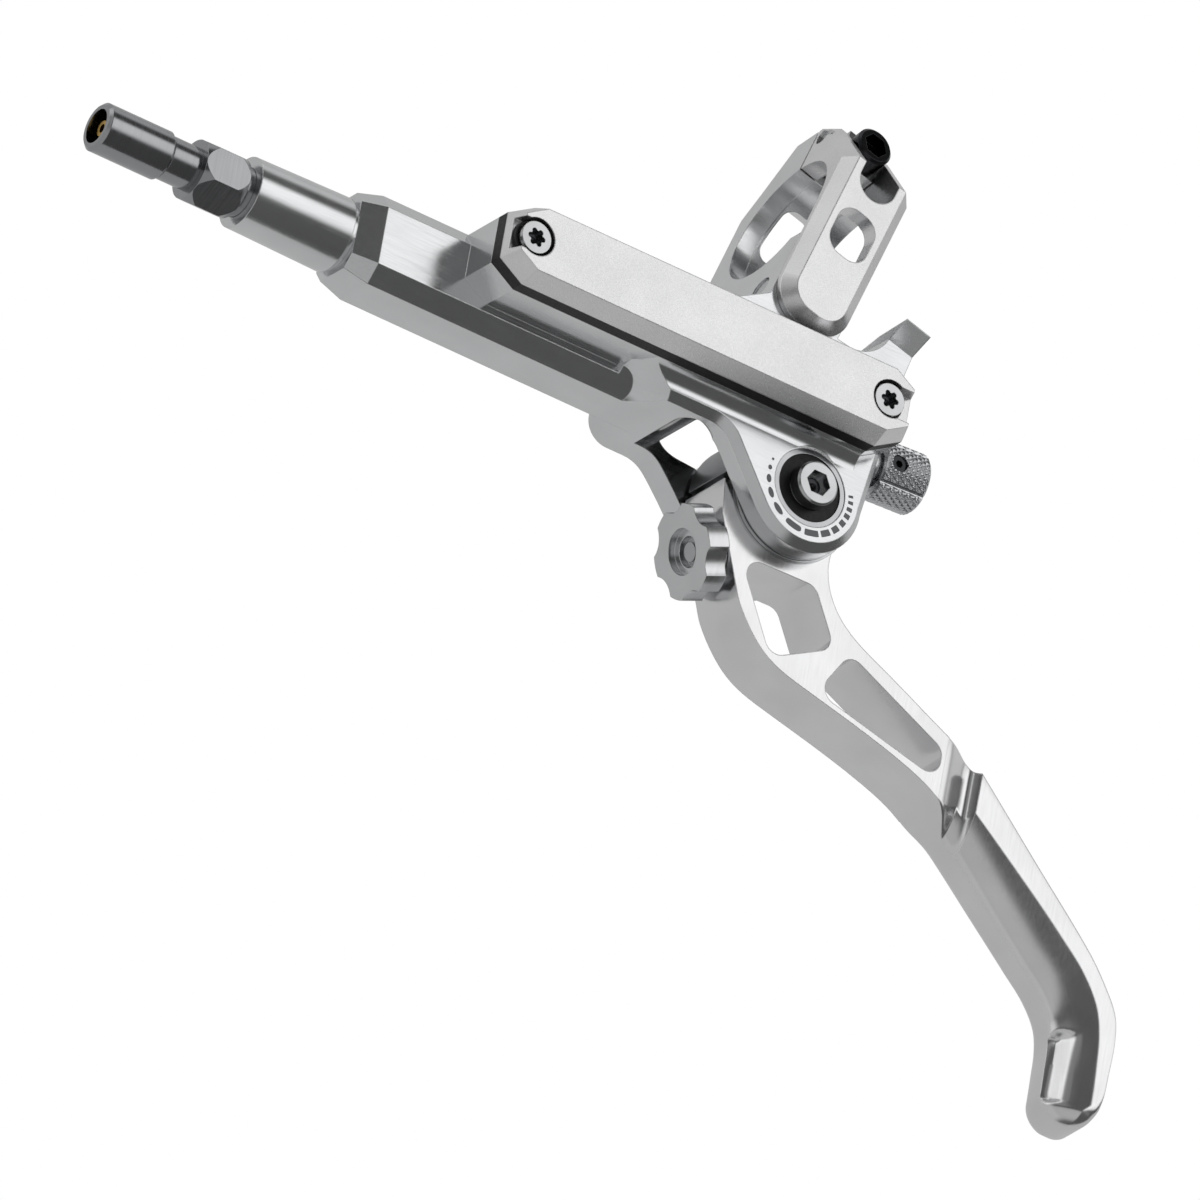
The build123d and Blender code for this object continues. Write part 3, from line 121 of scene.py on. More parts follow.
@dataclass(frozen=True)
class Finish:
    """A surface finish and the shader that gives it; a few of them carry painted shade in their colour.

    Attributes:
        name: The material's plain name.
        colour: The sRGB base colour.
        metallic: One for bare metal.
        roughness: The middle roughness.
        spread: How far the roughness wanders either side of it.
        grain: The direction of the tool marks.
        grain_mm: The spacing of the tool marks or blast pits.
        relief_mm: Their depth.
        edge_mm: The radius of the broken edges.
        shade: How dark the darkest patch of the colour is, as a share.
        patch_mm: The size of those patches.
    """

    name: str
    colour: str
    metallic: float = 1.0
    roughness: float = 0.25
    spread: float = 0.05
    grain: Grain = Grain.BLASTED
    grain_mm: float = 0.25
    relief_mm: float = 0.002
    edge_mm: float = 0.25
    shade: float = 0.94
    patch_mm: float = 9.0

    def build(self) -> bpy.types.Material:
        """Make the material from tool marks, slow patches and broken edges.

        Returns:
            The material.
        """
        material = bpy.data.materials.new(self.name)
        material.use_nodes = True
        tree = material.node_tree
        tree.nodes.clear()
        place = add_node(tree, "TexCoord")
        stretch = [axis / (self.grain_mm * MM) for axis in self.grain.value]
        marks_at = add_node(tree, "Mapping", {"Scale": stretch}, {"Vector": place.outputs["Object"]})
        marks = add_node(tree, "TexNoise", {"Scale": 1.0, "Detail": 3.0}, {"Vector": marks_at.outputs[0]})
        patches = add_node(tree, "TexNoise", {"Scale": 1 / (self.patch_mm * MM), "Detail": 2.0},
                           {"Vector": place.outputs["Object"]})
        dark = tuple(c * self.shade for c in linear(self.colour)[:3]) + (1.0,)
        ramp = add_node(tree, "ValToRGB", links={"Fac": patches.outputs["Fac"]})
        ramp.color_ramp.elements[0].position = 0.35
        ramp.color_ramp.elements[0].color = dark
        ramp.color_ramp.elements[1].position = 0.65
        ramp.color_ramp.elements[1].color = linear(self.colour)
        rough = add_node(tree, "MapRange", {"From Min": 0.3, "From Max": 0.7,
                                            "To Min": self.roughness - self.spread,
                                            "To Max": self.roughness + self.spread},
                         {"Value": marks.outputs["Fac"]})
        edge = add_node(tree, "Bevel", {"samples": 6, "Radius": self.edge_mm * MM})
        bump = add_node(tree, "Bump", {"Strength": 1.0, "Distance": self.relief_mm * MM},
                        {"Height": marks.outputs["Fac"], "Normal": edge.outputs[0]})
        shader = add_node(tree, "BsdfPrincipled", {"Metallic": self.metallic},
                          {"Base Color": ramp.outputs["Color"], "Roughness": rough.outputs[0],
                           "Normal": bump.outputs[0]})
        add_node(tree, "OutputMaterial", links={"Surface": shader.outputs[0]})
        return material


# The body: fine milling marks along the barrel draw its reflections out into long soft streaks.
POLISHED_ALLOY = Finish("polished_aluminium", "#DCDDDE", roughness=0.20, grain=Grain.MILLED_ALONG,
                        grain_mm=0.18, relief_mm=0.0012)
# The cover and strap: an even, nearly white top that holds no sharp reflection.
SATIN_ALLOY = Finish("satin_anodised_aluminium", "#E9E9EA", roughness=0.30, grain=Grain.BLASTED,
                     grain_mm=0.16, relief_mm=0.002)
# The blade: a tighter shine, so light and dark bands bend cleanly round the grip.
BLADE_ALLOY = Finish("milled_aluminium_blade", "#E4E4E5", roughness=0.21, spread=0.03,
                     grain=Grain.MILLED_ACROSS, grain_mm=0.3, relief_mm=0.0005)
# The carrier: a matt grey, darkened with painted shade that sets it back between the ears.
SHADED_BLASTED_ALLOY = Finish("blasted_aluminium_with_painted_shade", "#9A9B9D", roughness=0.38, grain_mm=0.2, relief_mm=0.004)
# The wheel and collar: lathe rings that pull the light into narrow bands.
TURNED_ALLOY = Finish("turned_aluminium", "#D2D3D4", roughness=0.22, grain=Grain.TURNED_ON_X,
                      grain_mm=0.2, relief_mm=0.0015)
# Screw heads and washers: a little darker than the alloy, with a round sheen.
STAINLESS = Finish("turned_stainless_steel", "#C4C5C6", roughness=0.2, grain=Grain.TURNED_ON_Z,
                   grain_mm=0.2, relief_mm=0.0015, edge_mm=0.15)
# Races, pushrod and spring: dark mirror lines beside hard bright ones.
GROUND_STEEL = Finish("ground_bearing_steel", "#B6B7B9", roughness=0.16, grain=Grain.TURNED_ON_Z,
                      grain_mm=0.2, relief_mm=0.001, edge_mm=0.1)
# The clamp bolt and the sockets: nearly black, with an oiled glint on the edges only; in the sockets this
# black is painted shade on their floors.
BLACK_OXIDE_AND_SOCKET_SHADE = Finish("black_oxide_steel_and_socket_shade", "#3A3B3D", roughness=0.22, grain_mm=0.15, relief_mm=0.002,
                     edge_mm=0.15)
# The hose nut and ferrule: a greyer, glassier plate with streaks along the hose.
DARK_NICKEL = Finish("dark_nickel_plate", "#A2A3A5", roughness=0.17, grain=Grain.TURNED_ON_X,
                     grain_mm=0.25, relief_mm=0.0015, edge_mm=0.15)
# The hose's inner tube and the dowel: the only warm glint.
BRASS = Finish("turned_brass", "#C9A45A", roughness=0.25, edge_mm=0.1)
# Gasket and seals: the black lines that never shine; round the cover screws the same black is painted shade
# in their recesses.
RUBBER_AND_RECESS_SHADE = Finish("black_nitrile_rubber_and_recess_shade", "#101011", metallic=0.0, roughness=0.5, spread=0.08,
                grain=Grain.MOULDED, grain_mm=0.3, relief_mm=0.01, edge_mm=0.15)
# The piston: black plastic with a wide soft glint.
ACETAL = Finish("black_acetal", "#1B1B1C", metallic=0.0, roughness=0.35, grain=Grain.MOULDED, edge_mm=0.1)
# The marks round the pivot: a flat grey of painted shade that reads as cut into the bright ear.
ENGRAVING_SHADE = Finish("engraving_shade_on_aluminium", "#7C7D7F", roughness=0.5, grain_mm=0.12, relief_mm=0.006,
                   edge_mm=0.05)
# The knob's rim: small facets that glitter one by one.
KNURL = Finish("knurled_aluminium", "#CDCED0", roughness=0.2, spread=0.08, grain_mm=0.15, relief_mm=0.004,
               edge_mm=0.06)

NODE_FINISHES: dict[Finish, tuple[str, ...]] = {
    POLISHED_ALLOY: ("master_body",),
    SATIN_ALLOY: ("reservoir_cover", "clamp_strap"),
    BLADE_ALLOY: ("lever_blade",),
    # The carrier's darker grey is painted shade.
    SHADED_BLASTED_ALLOY: ("carrier",),
    TURNED_ALLOY: ("knob", "reach_wheel", "detent_collar"),
    STAINLESS: ("cover_screws", "clamp_hinge_pin", "clamp_barrel_washer", "pivot_bolt", "pivot_sleeve",
                "thrust_washers"),
    GROUND_STEEL: ("upper_outer_race", "lower_outer_race", "upper_inner_race", "lower_inner_race", "trunnion",
                   "pushrod", "reach_screw", "retaining_circlip", "stop_washer", "return_spring"),
    BLACK_OXIDE_AND_SOCKET_SHADE: ("clamp_bolt", "knob_set_screw"),
    DARK_NICKEL: ("hose_nut", "hose_ferrule"),
    BRASS: ("hose_olive", "cross_dowel", "hose_barb"),
    RUBBER_AND_RECESS_SHADE: ("cover_gasket", "primary_seal", "secondary_seal", "upper_bearing_seal", "lower_bearing_seal"),
    ACETAL: ("piston", "spring_seat"),
}


def add_loop(mesh: bmesh.types.BMesh, points: list[Vector]) -> list[bmesh.types.BMVert]:
    """Add points in millimetres to a mesh as the vertices of one loop."""
    return [mesh.verts.new(point * MM) for point in points]


def add_skin(mesh: bmesh.types.BMesh, loops: list[list[bmesh.types.BMVert]]) -> None:
    """Join each closed loop of vertices to the next with four-sided faces.

    Args:
        mesh: The mesh that holds them.
        loops: Loops with equal numbers of vertices, in order.
    """
    for low, high in zip(loops, loops[1:]):
        for i in range(len(low)):
            j = (i + 1) % len(low)
            mesh.faces.new((low[i], low[j], high[j], high[i]))


def add_piece(name: str, mesh: bmesh.types.BMesh, finish: Finish, body: str,
              smooth_deg: float = 35.0) -> bpy.types.Object:
    """Turn a bmesh into a dressed piece that rides a body.

    Args:
        name: The piece's name.
        mesh: Its mesh, in metres in the part's frame; it is freed here.
        finish: The finish it takes.
        body: The body that carries it.
        smooth_deg: Edges flatter than this are shaded smooth.

    Returns:
        The new object.
    """
    bmesh.ops.recalc_face_normals(mesh, faces=mesh.faces)
    for edge in mesh.edges:
        edge.smooth = edge.calc_face_angle(0.0) < math.radians(smooth_deg)
    for face in mesh.faces:
        face.smooth = True
    data = bpy.data.meshes.new(name)
    mesh.to_mesh(data)
    mesh.free()
    piece = bpy.data.objects.new(name, data)
    bpy.context.scene.collection.objects.link(piece)
    data.materials.append(bpy.data.materials.get(finish.name) or finish.build())
    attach(piece, body)
    LOG.info("%s: %d faces on %s", name, len(data.polygons), body)
    return piece


class MarkEnd(Enum):
    """The form of a mark's ends: the power that bends its outline from a slot to a block."""

    ROUND = 1.0
    BLUNT = 0.55
    SQUARE = 0.18


@dataclass
class GraduationRing:
    """The row of etched marks that grows and shrinks again round the lever's pivot.

    Attributes:
        top_z: Height of the ear's top face.
        radius: Radius of the row's middle line.
        depth: How far the marks reach into the ear.
        proud: How far they stand over it, so that they are seen.
        steps: How many points trace a quarter of a mark.
        marks: Angle in degrees, length round the pivot, width and ends of each mark.
    """

    top_z: float = 10.6
    radius: float = 7.35
    depth: float = 0.08
    proud: float = 0.01
    steps: int = 24
    marks: tuple[tuple[float, float, float, MarkEnd], ...] = (
        (165.0, 0.45, 0.45, MarkEnd.ROUND), (177.0, 0.8, 0.7, MarkEnd.ROUND),
        (191.5, 1.35, 0.85, MarkEnd.ROUND), (209.0, 1.75, 0.9, MarkEnd.ROUND),
        (230.0, 2.2, 0.95, MarkEnd.ROUND), (257.0, 2.9, 1.05, MarkEnd.BLUNT),
        (283.0, 2.5, 1.05, MarkEnd.SQUARE), (303.0, 1.7, 1.05, MarkEnd.SQUARE),
        (319.0, 1.3, 1.05, MarkEnd.SQUARE), (333.0, 1.05, 1.0, MarkEnd.SQUARE),
        (345.0, 0.85, 1.0, MarkEnd.SQUARE), (355.0, 0.7, 0.95, MarkEnd.SQUARE),
        (4.0, 0.55, 0.9, MarkEnd.SQUARE), (12.0, 0.42, 0.85, MarkEnd.SQUARE))

    def outline(self, angle: float, length: float, width: float, end: MarkEnd) -> list[Vector]:
        """Trace one mark's edge as a slot bent round the pivot.

        Args:
            angle: Its middle, in degrees about the pivot.
            length: Its length round the pivot.
            width: Its width across the row.
            end: The form of its ends.

        Returns:
            The edge's points in millimetres.
        """
        points = []
        for step in range(4 * self.steps):
            turn = math.tau * (step + 0.5) / (4 * self.steps)
            along = math.copysign(abs(math.cos(turn)) ** end.value, math.cos(turn)) * length / 2
            across = math.copysign(abs(math.sin(turn)) ** end.value, math.sin(turn)) * width / 2
            bearing = math.radians(angle) + along / self.radius
            reach = self.radius + across
            points.append(Vector((PIVOT[0] + reach * math.cos(bearing),
                                  PIVOT[1] + reach * math.sin(bearing), 0)))
        return points

    def build(self) -> bpy.types.Object:
        """Lay the marks as thin blocks of grey painted shade in the ear's top face.

        Returns:
            The piece that holds all the marks.
        """
        mesh = bmesh.new()
        for mark in self.marks:
            edge = self.outline(*mark)
            low = add_loop(mesh, [point + Vector((0, 0, self.top_z - self.depth)) for point in edge])
            high = add_loop(mesh, [point + Vector((0, 0, self.top_z + self.proud)) for point in edge])
            mesh.faces.new(high)
            mesh.faces.new(list(reversed(low)))
            add_skin(mesh, [low, high])
        return add_piece("graduation_marks", mesh, ENGRAVING_SHADE, "body")


def along_curve(points: list[tuple[float, float]], first: tuple[float, float], last: tuple[float, float],
                steps: int) -> list[Vector]:
    """Run a smooth curve through points, at even steps of its length.

    Args:
        points: The points in millimetres.
        first: The direction in which it starts.
        last: The direction in which it ends.
        steps: How many equal steps to divide it into.

    Returns:
        The steps' ends, one more than steps.
    """
    knots = [Vector((x, y, 0.0)) for x, y in points]
    slopes = [Vector((*first, 0.0)).normalized()]
    for before, after in zip(knots, knots[2:]):
        slopes.append((after - before).normalized())
    slopes.append(Vector((*last, 0.0)).normalized())
    fine = [knots[0]]
    parts = 24
    for a, b, slope_a, slope_b in zip(knots, knots[1:], slopes, slopes[1:]):
        span = (b - a).length
        for step in range(1, parts + 1):
            t = step / parts
            fine.append(a * (2 * t ** 3 - 3 * t ** 2 + 1) + slope_a * span * (t ** 3 - 2 * t ** 2 + t)
                        + b * (3 * t ** 2 - 2 * t ** 3) + slope_b * span * (t ** 3 - t ** 2))
    lengths = [0.0]
    for a, b in zip(fine, fine[1:]):
        lengths.append(lengths[-1] + (b - a).length)
    result, k = [], 0
    for step in range(steps + 1):
        goal = lengths[-1] * step / steps
        while k < len(lengths) - 2 and lengths[k + 1] < goal:
            k += 1
        share = (goal - lengths[k]) / max(1e-9, lengths[k + 1] - lengths[k])
        result.append(fine[k].lerp(fine[k + 1], min(1.0, share)))
    return result


@dataclass(frozen=True)
class Station:
    """One section across the blade.

    Attributes:
        back: The back edge's point.
        front: The front edge's point.
        heights: How far it reaches above and below the middle plane.
        rounds: The radii of its back corners, upper front corner and lower front corner.
    """

    back: Vector
    front: Vector
    heights: tuple[float, float]
    rounds: tuple[float, float, float]


@dataclass
class LeverBlade:
    """The lever blade, whose grip has a crisp back edge, a round front, a scoop before it and a thumb flat.

    Attributes:
        half: Half the blade's thickness.
        joint_x: Where the plain arm ends and the shaped part starts.
        overlap: How far the two run into each other.
        scoop_end: Where the scoop's steep wall meets the grip's top.
        scoop_low: Where the scoop is deepest.
        scoop_depth: How deep it is there.
        scoop_mid: Points of the back and front edges beside the scoop.
        scoop_skew: How far the sections lean across the scoop.
        front_round: The depth of the grip's round upper front corner.
        lower_round: The depth of the corner below it.
        upper_front: The upper corner's width in depths, and the share of the grip's width that it may take.
        lower_front: The same of the lower corner.
        tight_turn: The radius with which a front corner of full width leaves the face.
        full_run: That full width.
        first_turn_deg: How far it turns at that radius.
        fall_limit: The share of the corner's depth that the bend after it may reach.
        crisp: The broken edge's size elsewhere.
        corner_steps: Steps over the back corner, the face, the first turn and the fall to the front.
        corner_share: The greatest share of a face that its corners may use up.
        back_share: The greatest share of a section's width that its back corner may use up.
        back_line: The back edge's points from the scoop to the hook.
        back_ways: That edge's directions where the arm, the scoop and the grip end.
        front_line: The front edge's points from the scoop to the hook.
        front_ways: That edge's directions where the arm, the scoop and the grip end.
        scoop_steps: How many sections the scoop has.
        grip_steps: How many sections the grip has.
        tip: The hook's round tip: where it starts along Y, and its radius.
        tip_edge: How much rounder the back edge is where the tip starts, and how much more at its end.
        tip_lead: How far before the tip the back edge starts to grow rounder.
        tip_half: Half the thickness at the tip's very end.
        tip_bulge: The power that keeps the tip full until near its end.
        tip_steps: How many sections the tip has.
        tip_stop: The share of the quarter turn at which the tip is closed.
        pad_at: The middle of the thumb flat.
        pad_out: The direction that the flat faces, and the one across it.
        pad: The flat's length, width and depth.
        pad_fade: How far inside its edges the flat starts to fade, and how far on it has gone.
    """

    half: float = 5.4
    joint_x: float = 35.6
    overlap: float = 0.02
    scoop_end: float = 42.3
    scoop_low: float = 40.7
    scoop_depth: float = 1.9
    scoop_mid: tuple[tuple[float, float], ...] = ((39.0, -72.7), (39.0, -84.9))
    scoop_skew: float = 0.8
    front_round: float = 4.9
    lower_round: float = 3.4
    upper_front: tuple[float, float] = (1.4, 0.8)
    lower_front: tuple[float, float] = (1.0, 0.4)
    tight_turn: float = 1.6
    full_run: float = 6.2
    first_turn_deg: float = 20.0
    fall_limit: float = 0.9
    crisp: float = 0.22
    corner_steps: tuple[int, int, int, int] = (8, 5, 6, 12)
    corner_share: float = 0.98
    back_share: float = 0.3
    back_line: tuple[tuple[float, float], ...] = (
        (42.3, -74.7), (54.0, -84.97), (65.8, -95.3), (69.9, -100.0),
        (72.3, -103.9), (73.0, -108.5), (72.9, -114.0), (72.8, -119.2))
    back_ways: tuple[tuple[float, float], ...] = ((1, -0.40), (1, -0.875), (-0.02, -1))
    front_line: tuple[tuple[float, float], ...] = (
        (42.3, -88.1), (49.3, -94.0), (56.6, -100.1), (60.4, -103.3),
        (63.0, -106.8), (63.9, -110.3), (64.1, -114.5), (64.2, -119.2))
    front_ways: tuple[tuple[float, float], ...] = ((1, -0.72), (1, -0.82), (0, -1))
    scoop_steps: int = 40
    grip_steps: int = 150
    tip: tuple[float, float] = (-119.2, 4.3)
    tip_edge: tuple[float, float] = (0.9, 3.0)
    tip_lead: float = 3.0
    tip_half: float = 0.3
    tip_bulge: float = 0.75
    tip_steps: int = 30
    tip_stop: float = 0.985
    pad_at: tuple[float, float, float] = (65.6, -114.5, 3.15)
    pad_out: tuple[tuple[float, float, float], ...] = ((-0.84, 0.0, 0.54), (0.54, 0.0, 0.84))
    pad: tuple[float, float, float] = (11.5, 4.8, 0.75)
    pad_fade: tuple[float, float] = (1.6, 2.1)

    def scoop(self, x: float) -> float:
        """Find how far the scoop lowers the face.

        Args:
            x: The place along X.

        Returns:
            The depth below the blade's face.
        """
        if x <= self.joint_x or x >= self.scoop_end:
            return 0.0
        if x < self.scoop_low:
            return self.scoop_depth * ease((x - self.joint_x) / (self.scoop_low - self.joint_x))
        return self.scoop_depth * (1 - ((x - self.scoop_low) / (self.scoop_end - self.scoop_low)) ** 3)

    def corners(self, span: float, height: float, back_round: float, front_round: float,
                limits: tuple[float, float]) -> list[tuple[float, float]]:
        """Trace one half of a section, from its back face over its top to its front face.

        Args:
            span: The section's width.
            height: Half its height.
            back_round: The radius of its back corner.
            front_round: The depth of its front corner.
            limits: That corner's width in depths, and the share of the section's width that it may take.

        Returns:
            Distances from the back face, with heights.
        """
        back_round = min(back_round, height * self.corner_share, span * self.back_share)
        front_round = min(front_round, height * self.corner_share)
        front_run = min(front_round * limits[0], span * self.corner_share - back_round, span * limits[1])
        tight = self.tight_turn * front_run / self.full_run
        turned = math.radians(self.first_turn_deg)
        fall = front_round - tight * (1 - math.cos(turned))
        reach = front_run - tight * math.sin(turned)
        bend = min(reach * math.tan(turned), fall * self.fall_limit)
        points = []
        back_steps, flat_steps, turn_steps, fall_steps = self.corner_steps
        for step in range(back_steps + 1):
            turn = math.pi / 2 * step / back_steps
            points.append((back_round * (1 - math.cos(turn)), height - back_round * (1 - math.sin(turn))))
        for step in range(1, flat_steps):
            points.append((back_round + (span - front_run - back_round) * step / flat_steps, height))
        for step in range(turn_steps):
            turn = turned * step / turn_steps
            points.append((span - front_run + tight * math.sin(turn), height - tight * (1 - math.cos(turn))))
        for step in range(fall_steps + 1):
            share = step / fall_steps
            lowered = 2 * share * (1 - share) * bend + share ** 2 * fall
            points.append((span - reach * (1 - share) ** 2, height - (front_round - fall) - lowered))
        return points

    def section(self, station: Station) -> list[Vector]:
        """Trace the whole edge of one section.

        Args:
            station: The section's place, heights and corner radii.

        Returns:
            Its points in order, in millimetres.
        """
        span = (station.front - station.back).length
        across = (station.front - station.back).normalized()
        edge, front_up, front_down = station.rounds
        upper = self.corners(span, station.heights[0], edge, front_up, self.upper_front)
        lower = self.corners(span, station.heights[1], edge, front_down, self.lower_front)
        points = upper + [(a, -z) for a, z in reversed(lower)]
        return [self.flatten(station.back + across * a + Vector((0, 0, z))) for a, z in points]

    def flatten(self, point: Vector) -> Vector:
        """Press a point of the round front down to the thumb flat.

        Args:
            point: The point on the round front.

        Returns:
            The point on the flat, or the same point where it lies outside it.
        """
        length, width, depth = self.pad
        inset, fade = self.pad_fade
        normal, cross = (Vector(direction).normalized() for direction in self.pad_out)
        rel = point - Vector(self.pad_at)
        beyond = math.hypot(max(0.0, abs(rel.y) - length / 2 + inset),
                            max(0.0, abs(rel.dot(cross)) - width / 2 + inset))
        share = clamp(fade - beyond)
        out = rel.dot(normal)
        if share > 0.0 and out > -depth:
            return point - normal * (out + depth) * ease(share)
        return point

    def stations(self, low_back: float, low_front: float) -> list[Station]:
        """List the sections from the arm's end, through the scoop and grip, to the hook's tip.

        Args:
            low_back: Where the plain arm's back face ends along Y.
            low_front: Where its front face ends.

        Returns:
            The sections in order.
        """
        start_x = self.joint_x - self.overlap
        level = (self.half, self.half)
        fronts_round = (self.front_round, self.lower_round)
        result = []
        scoop_back = along_curve([(start_x, low_back), self.scoop_mid[0], self.back_line[0]],
                                 *self.back_ways[:2], self.scoop_steps)
        scoop_front = along_curve([(start_x, low_front), self.scoop_mid[1], self.front_line[0]],
                                  *self.front_ways[:2], self.scoop_steps)
        for back, front in zip(scoop_back, scoop_front):
            straight = Vector((back.x, front.y + (front.x - back.x) * self.scoop_skew, 0.0))
            grown = ease(clamp((back.x - self.joint_x) / (self.scoop_end - self.joint_x)))
            rounds = [self.crisp + (goal - self.crisp) * grown for goal in (self.crisp, *fronts_round)]
            result.append(Station(back, straight, (self.half - self.scoop(back.x), self.half), tuple(rounds)))
        backs = along_curve(list(self.back_line), *self.back_ways[1:], self.grip_steps)
        fronts = along_curve(list(self.front_line), *self.front_ways[1:], self.grip_steps)
        start, radius = self.tip
        edge, more = self.tip_edge
        for back, front in zip(backs[1:], fronts[1:]):
            near_tip = clamp((start + self.tip_lead - back.y) / self.tip_lead)
            result.append(Station(back, front, level, (self.crisp + edge * near_tip ** 2, *fronts_round)))
        middle = (backs[-1].x + fronts[-1].x) / 2
        for step in range(1, self.tip_steps + 1):
            turn = math.pi / 2 * min(self.tip_stop, step / self.tip_steps)
            half_w = radius * math.cos(turn)
            y = start - radius * math.sin(turn)
            height = self.half - (self.half - self.tip_half) * (1 - math.cos(turn) ** self.tip_bulge)
            back_round = self.crisp + edge + more * math.sin(turn)
            result.append(Station(Vector((middle + half_w, y, 0)), Vector((middle - half_w, y, 0)),
                                  (height, height), (back_round, *fronts_round)))
        return result

    def build(self) -> bpy.types.Object:
        """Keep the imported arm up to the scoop, and loft the rest on to it.

        Returns:
            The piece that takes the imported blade's place.
        """
        mesh = bmesh.new()
        mesh.from_mesh(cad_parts["lever_blade"].data)
        bmesh.ops.remove_doubles(mesh, verts=mesh.verts, dist=1e-6)
        cut = bmesh.ops.bisect_plane(mesh, geom=mesh.verts[:] + mesh.edges[:] + mesh.faces[:], dist=1e-7,
                                     plane_co=(self.joint_x * MM, 0, 0), plane_no=(1, 0, 0), clear_outer=True)
        rim = [item for item in cut["geom_cut"] if isinstance(item, bmesh.types.BMEdge)]
        rim_ys = [vert.co.y / MM for edge in rim for vert in edge.verts]
        bmesh.ops.contextual_create(mesh, geom=rim)
        loops = [add_loop(mesh, self.section(station)) for station in self.stations(max(rim_ys), min(rim_ys))]
        mesh.faces.new(loops[0])
        mesh.faces.new(loops[-1])
        add_skin(mesh, loops)
        piece = add_piece("dressed_blade", mesh, BLADE_ALLOY, "blade", smooth_deg=30.0)
        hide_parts("lever_blade")
        return piece


@dataclass
class KnurledKnob:
    """The adjuster knob, with its diamond knurl, four long grooves and set-screw hole.

    Attributes:
        start: Where its inner end face meets its axis.
        slope: The axis's rise in Y for each millimetre of X.
        length: Its length along the axis.
        radius: Its radius over the knurl.
        bore: The radius of the hole through it.
        diamonds: Diamonds round the rim.
        diamond_len: Length of one diamond along the axis.
        knurl_depth: How deep the knurl's lines go.
        knurl_sharpness: How narrow those lines are.
        groove_depth: How deep the four long grooves go.
        groove_half_w: Half the width of each.
        chamfer: The size of the chamfers at both ends.
        hole_at: The set-screw hole's distance from the inner face.
        hole_r: The set-screw hole's radius.
        hole_floor: How far over the bore its floor lies.
        around: Points round the rim.
        steps: Rings along it.
    """

    start: tuple[float, float] = (17.1, -31.00)
    slope: float = 0.0521
    length: float = 7.8
    radius: float = 4.9
    bore: float = 2.55
    diamonds: int = 32
    diamond_len: float = 1.5
    knurl_depth: float = 0.24
    knurl_sharpness: float = 3.2
    groove_depth: float = 0.55
    groove_half_w: float = 0.55
    chamfer: float = 0.4
    hole_at: float = 2.2
    hole_r: float = 1.32
    hole_floor: float = 0.1
    around: int = 320
    steps: int = 78

    def radius_at(self, turn: float, along: float) -> float:
        """Find the surface's radius.

        Args:
            turn: The angle about the axis from straight up, in radians.
            along: The distance from the inner face.

        Returns:
            The radius in millimetres.
        """
        across = turn / math.tau * self.diamonds
        down = along / self.diamond_len
        lines = [abs((value + 0.5) % 1.0 - 0.5) for value in (across + down, across - down)]
        radius = self.radius - self.knurl_depth * (1 - min(1.0, min(lines) * self.knurl_sharpness))
        aside = abs(turn % (math.pi / 2) - math.pi / 4) * self.radius
        if aside < self.groove_half_w:
            radius = min(radius, self.radius - self.groove_depth * (1 - (aside / self.groove_half_w) ** 2))
        end = min(along, self.length - along)
        radius = min(radius, self.radius - max(0.0, self.chamfer - end))
        wrapped = (turn + math.pi) % math.tau - math.pi
        if math.hypot(wrapped * self.radius, along - self.hole_at) < self.hole_r:
            radius = self.bore + self.hole_floor
        return radius

    def ring(self, along: float, bored: bool) -> list[Vector]:
        """Trace one ring round the axis.

        Args:
            along: The ring's distance from the inner face.
            bored: True for a ring in the bore, false for one on the rim.

        Returns:
            The ring's points in millimetres.
        """
        axis = Vector((1.0, self.slope, 0.0)).normalized()
        side = Vector((0.0, 0.0, 1.0)).cross(axis)
        middle = Vector((*self.start, 0.0)) + axis * along
        points = []
        for i in range(self.around):
            turn = math.tau * i / self.around
            reach = self.bore if bored else self.radius_at(turn, along)
            points.append(middle + (Vector((0, 0, 1)) * math.cos(turn) - side * math.sin(turn)) * reach)
        return points

    def build(self) -> bpy.types.Object:
        """Wrap the knurled rim and close it with two end faces and the bore.

        Returns:
            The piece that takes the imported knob's place.
        """
        mesh = bmesh.new()
        loops = [add_loop(mesh, self.ring(0.0, True))]
        for step in range(self.steps + 1):
            loops.append(add_loop(mesh, self.ring(self.length * step / self.steps, False)))
        loops.append(add_loop(mesh, self.ring(self.length, True)))
        add_skin(mesh, loops + loops[:1])
        piece = add_piece("knurled_knob", mesh, KNURL, "pushrod", smooth_deg=25.0)
        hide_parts("knob")
        return piece


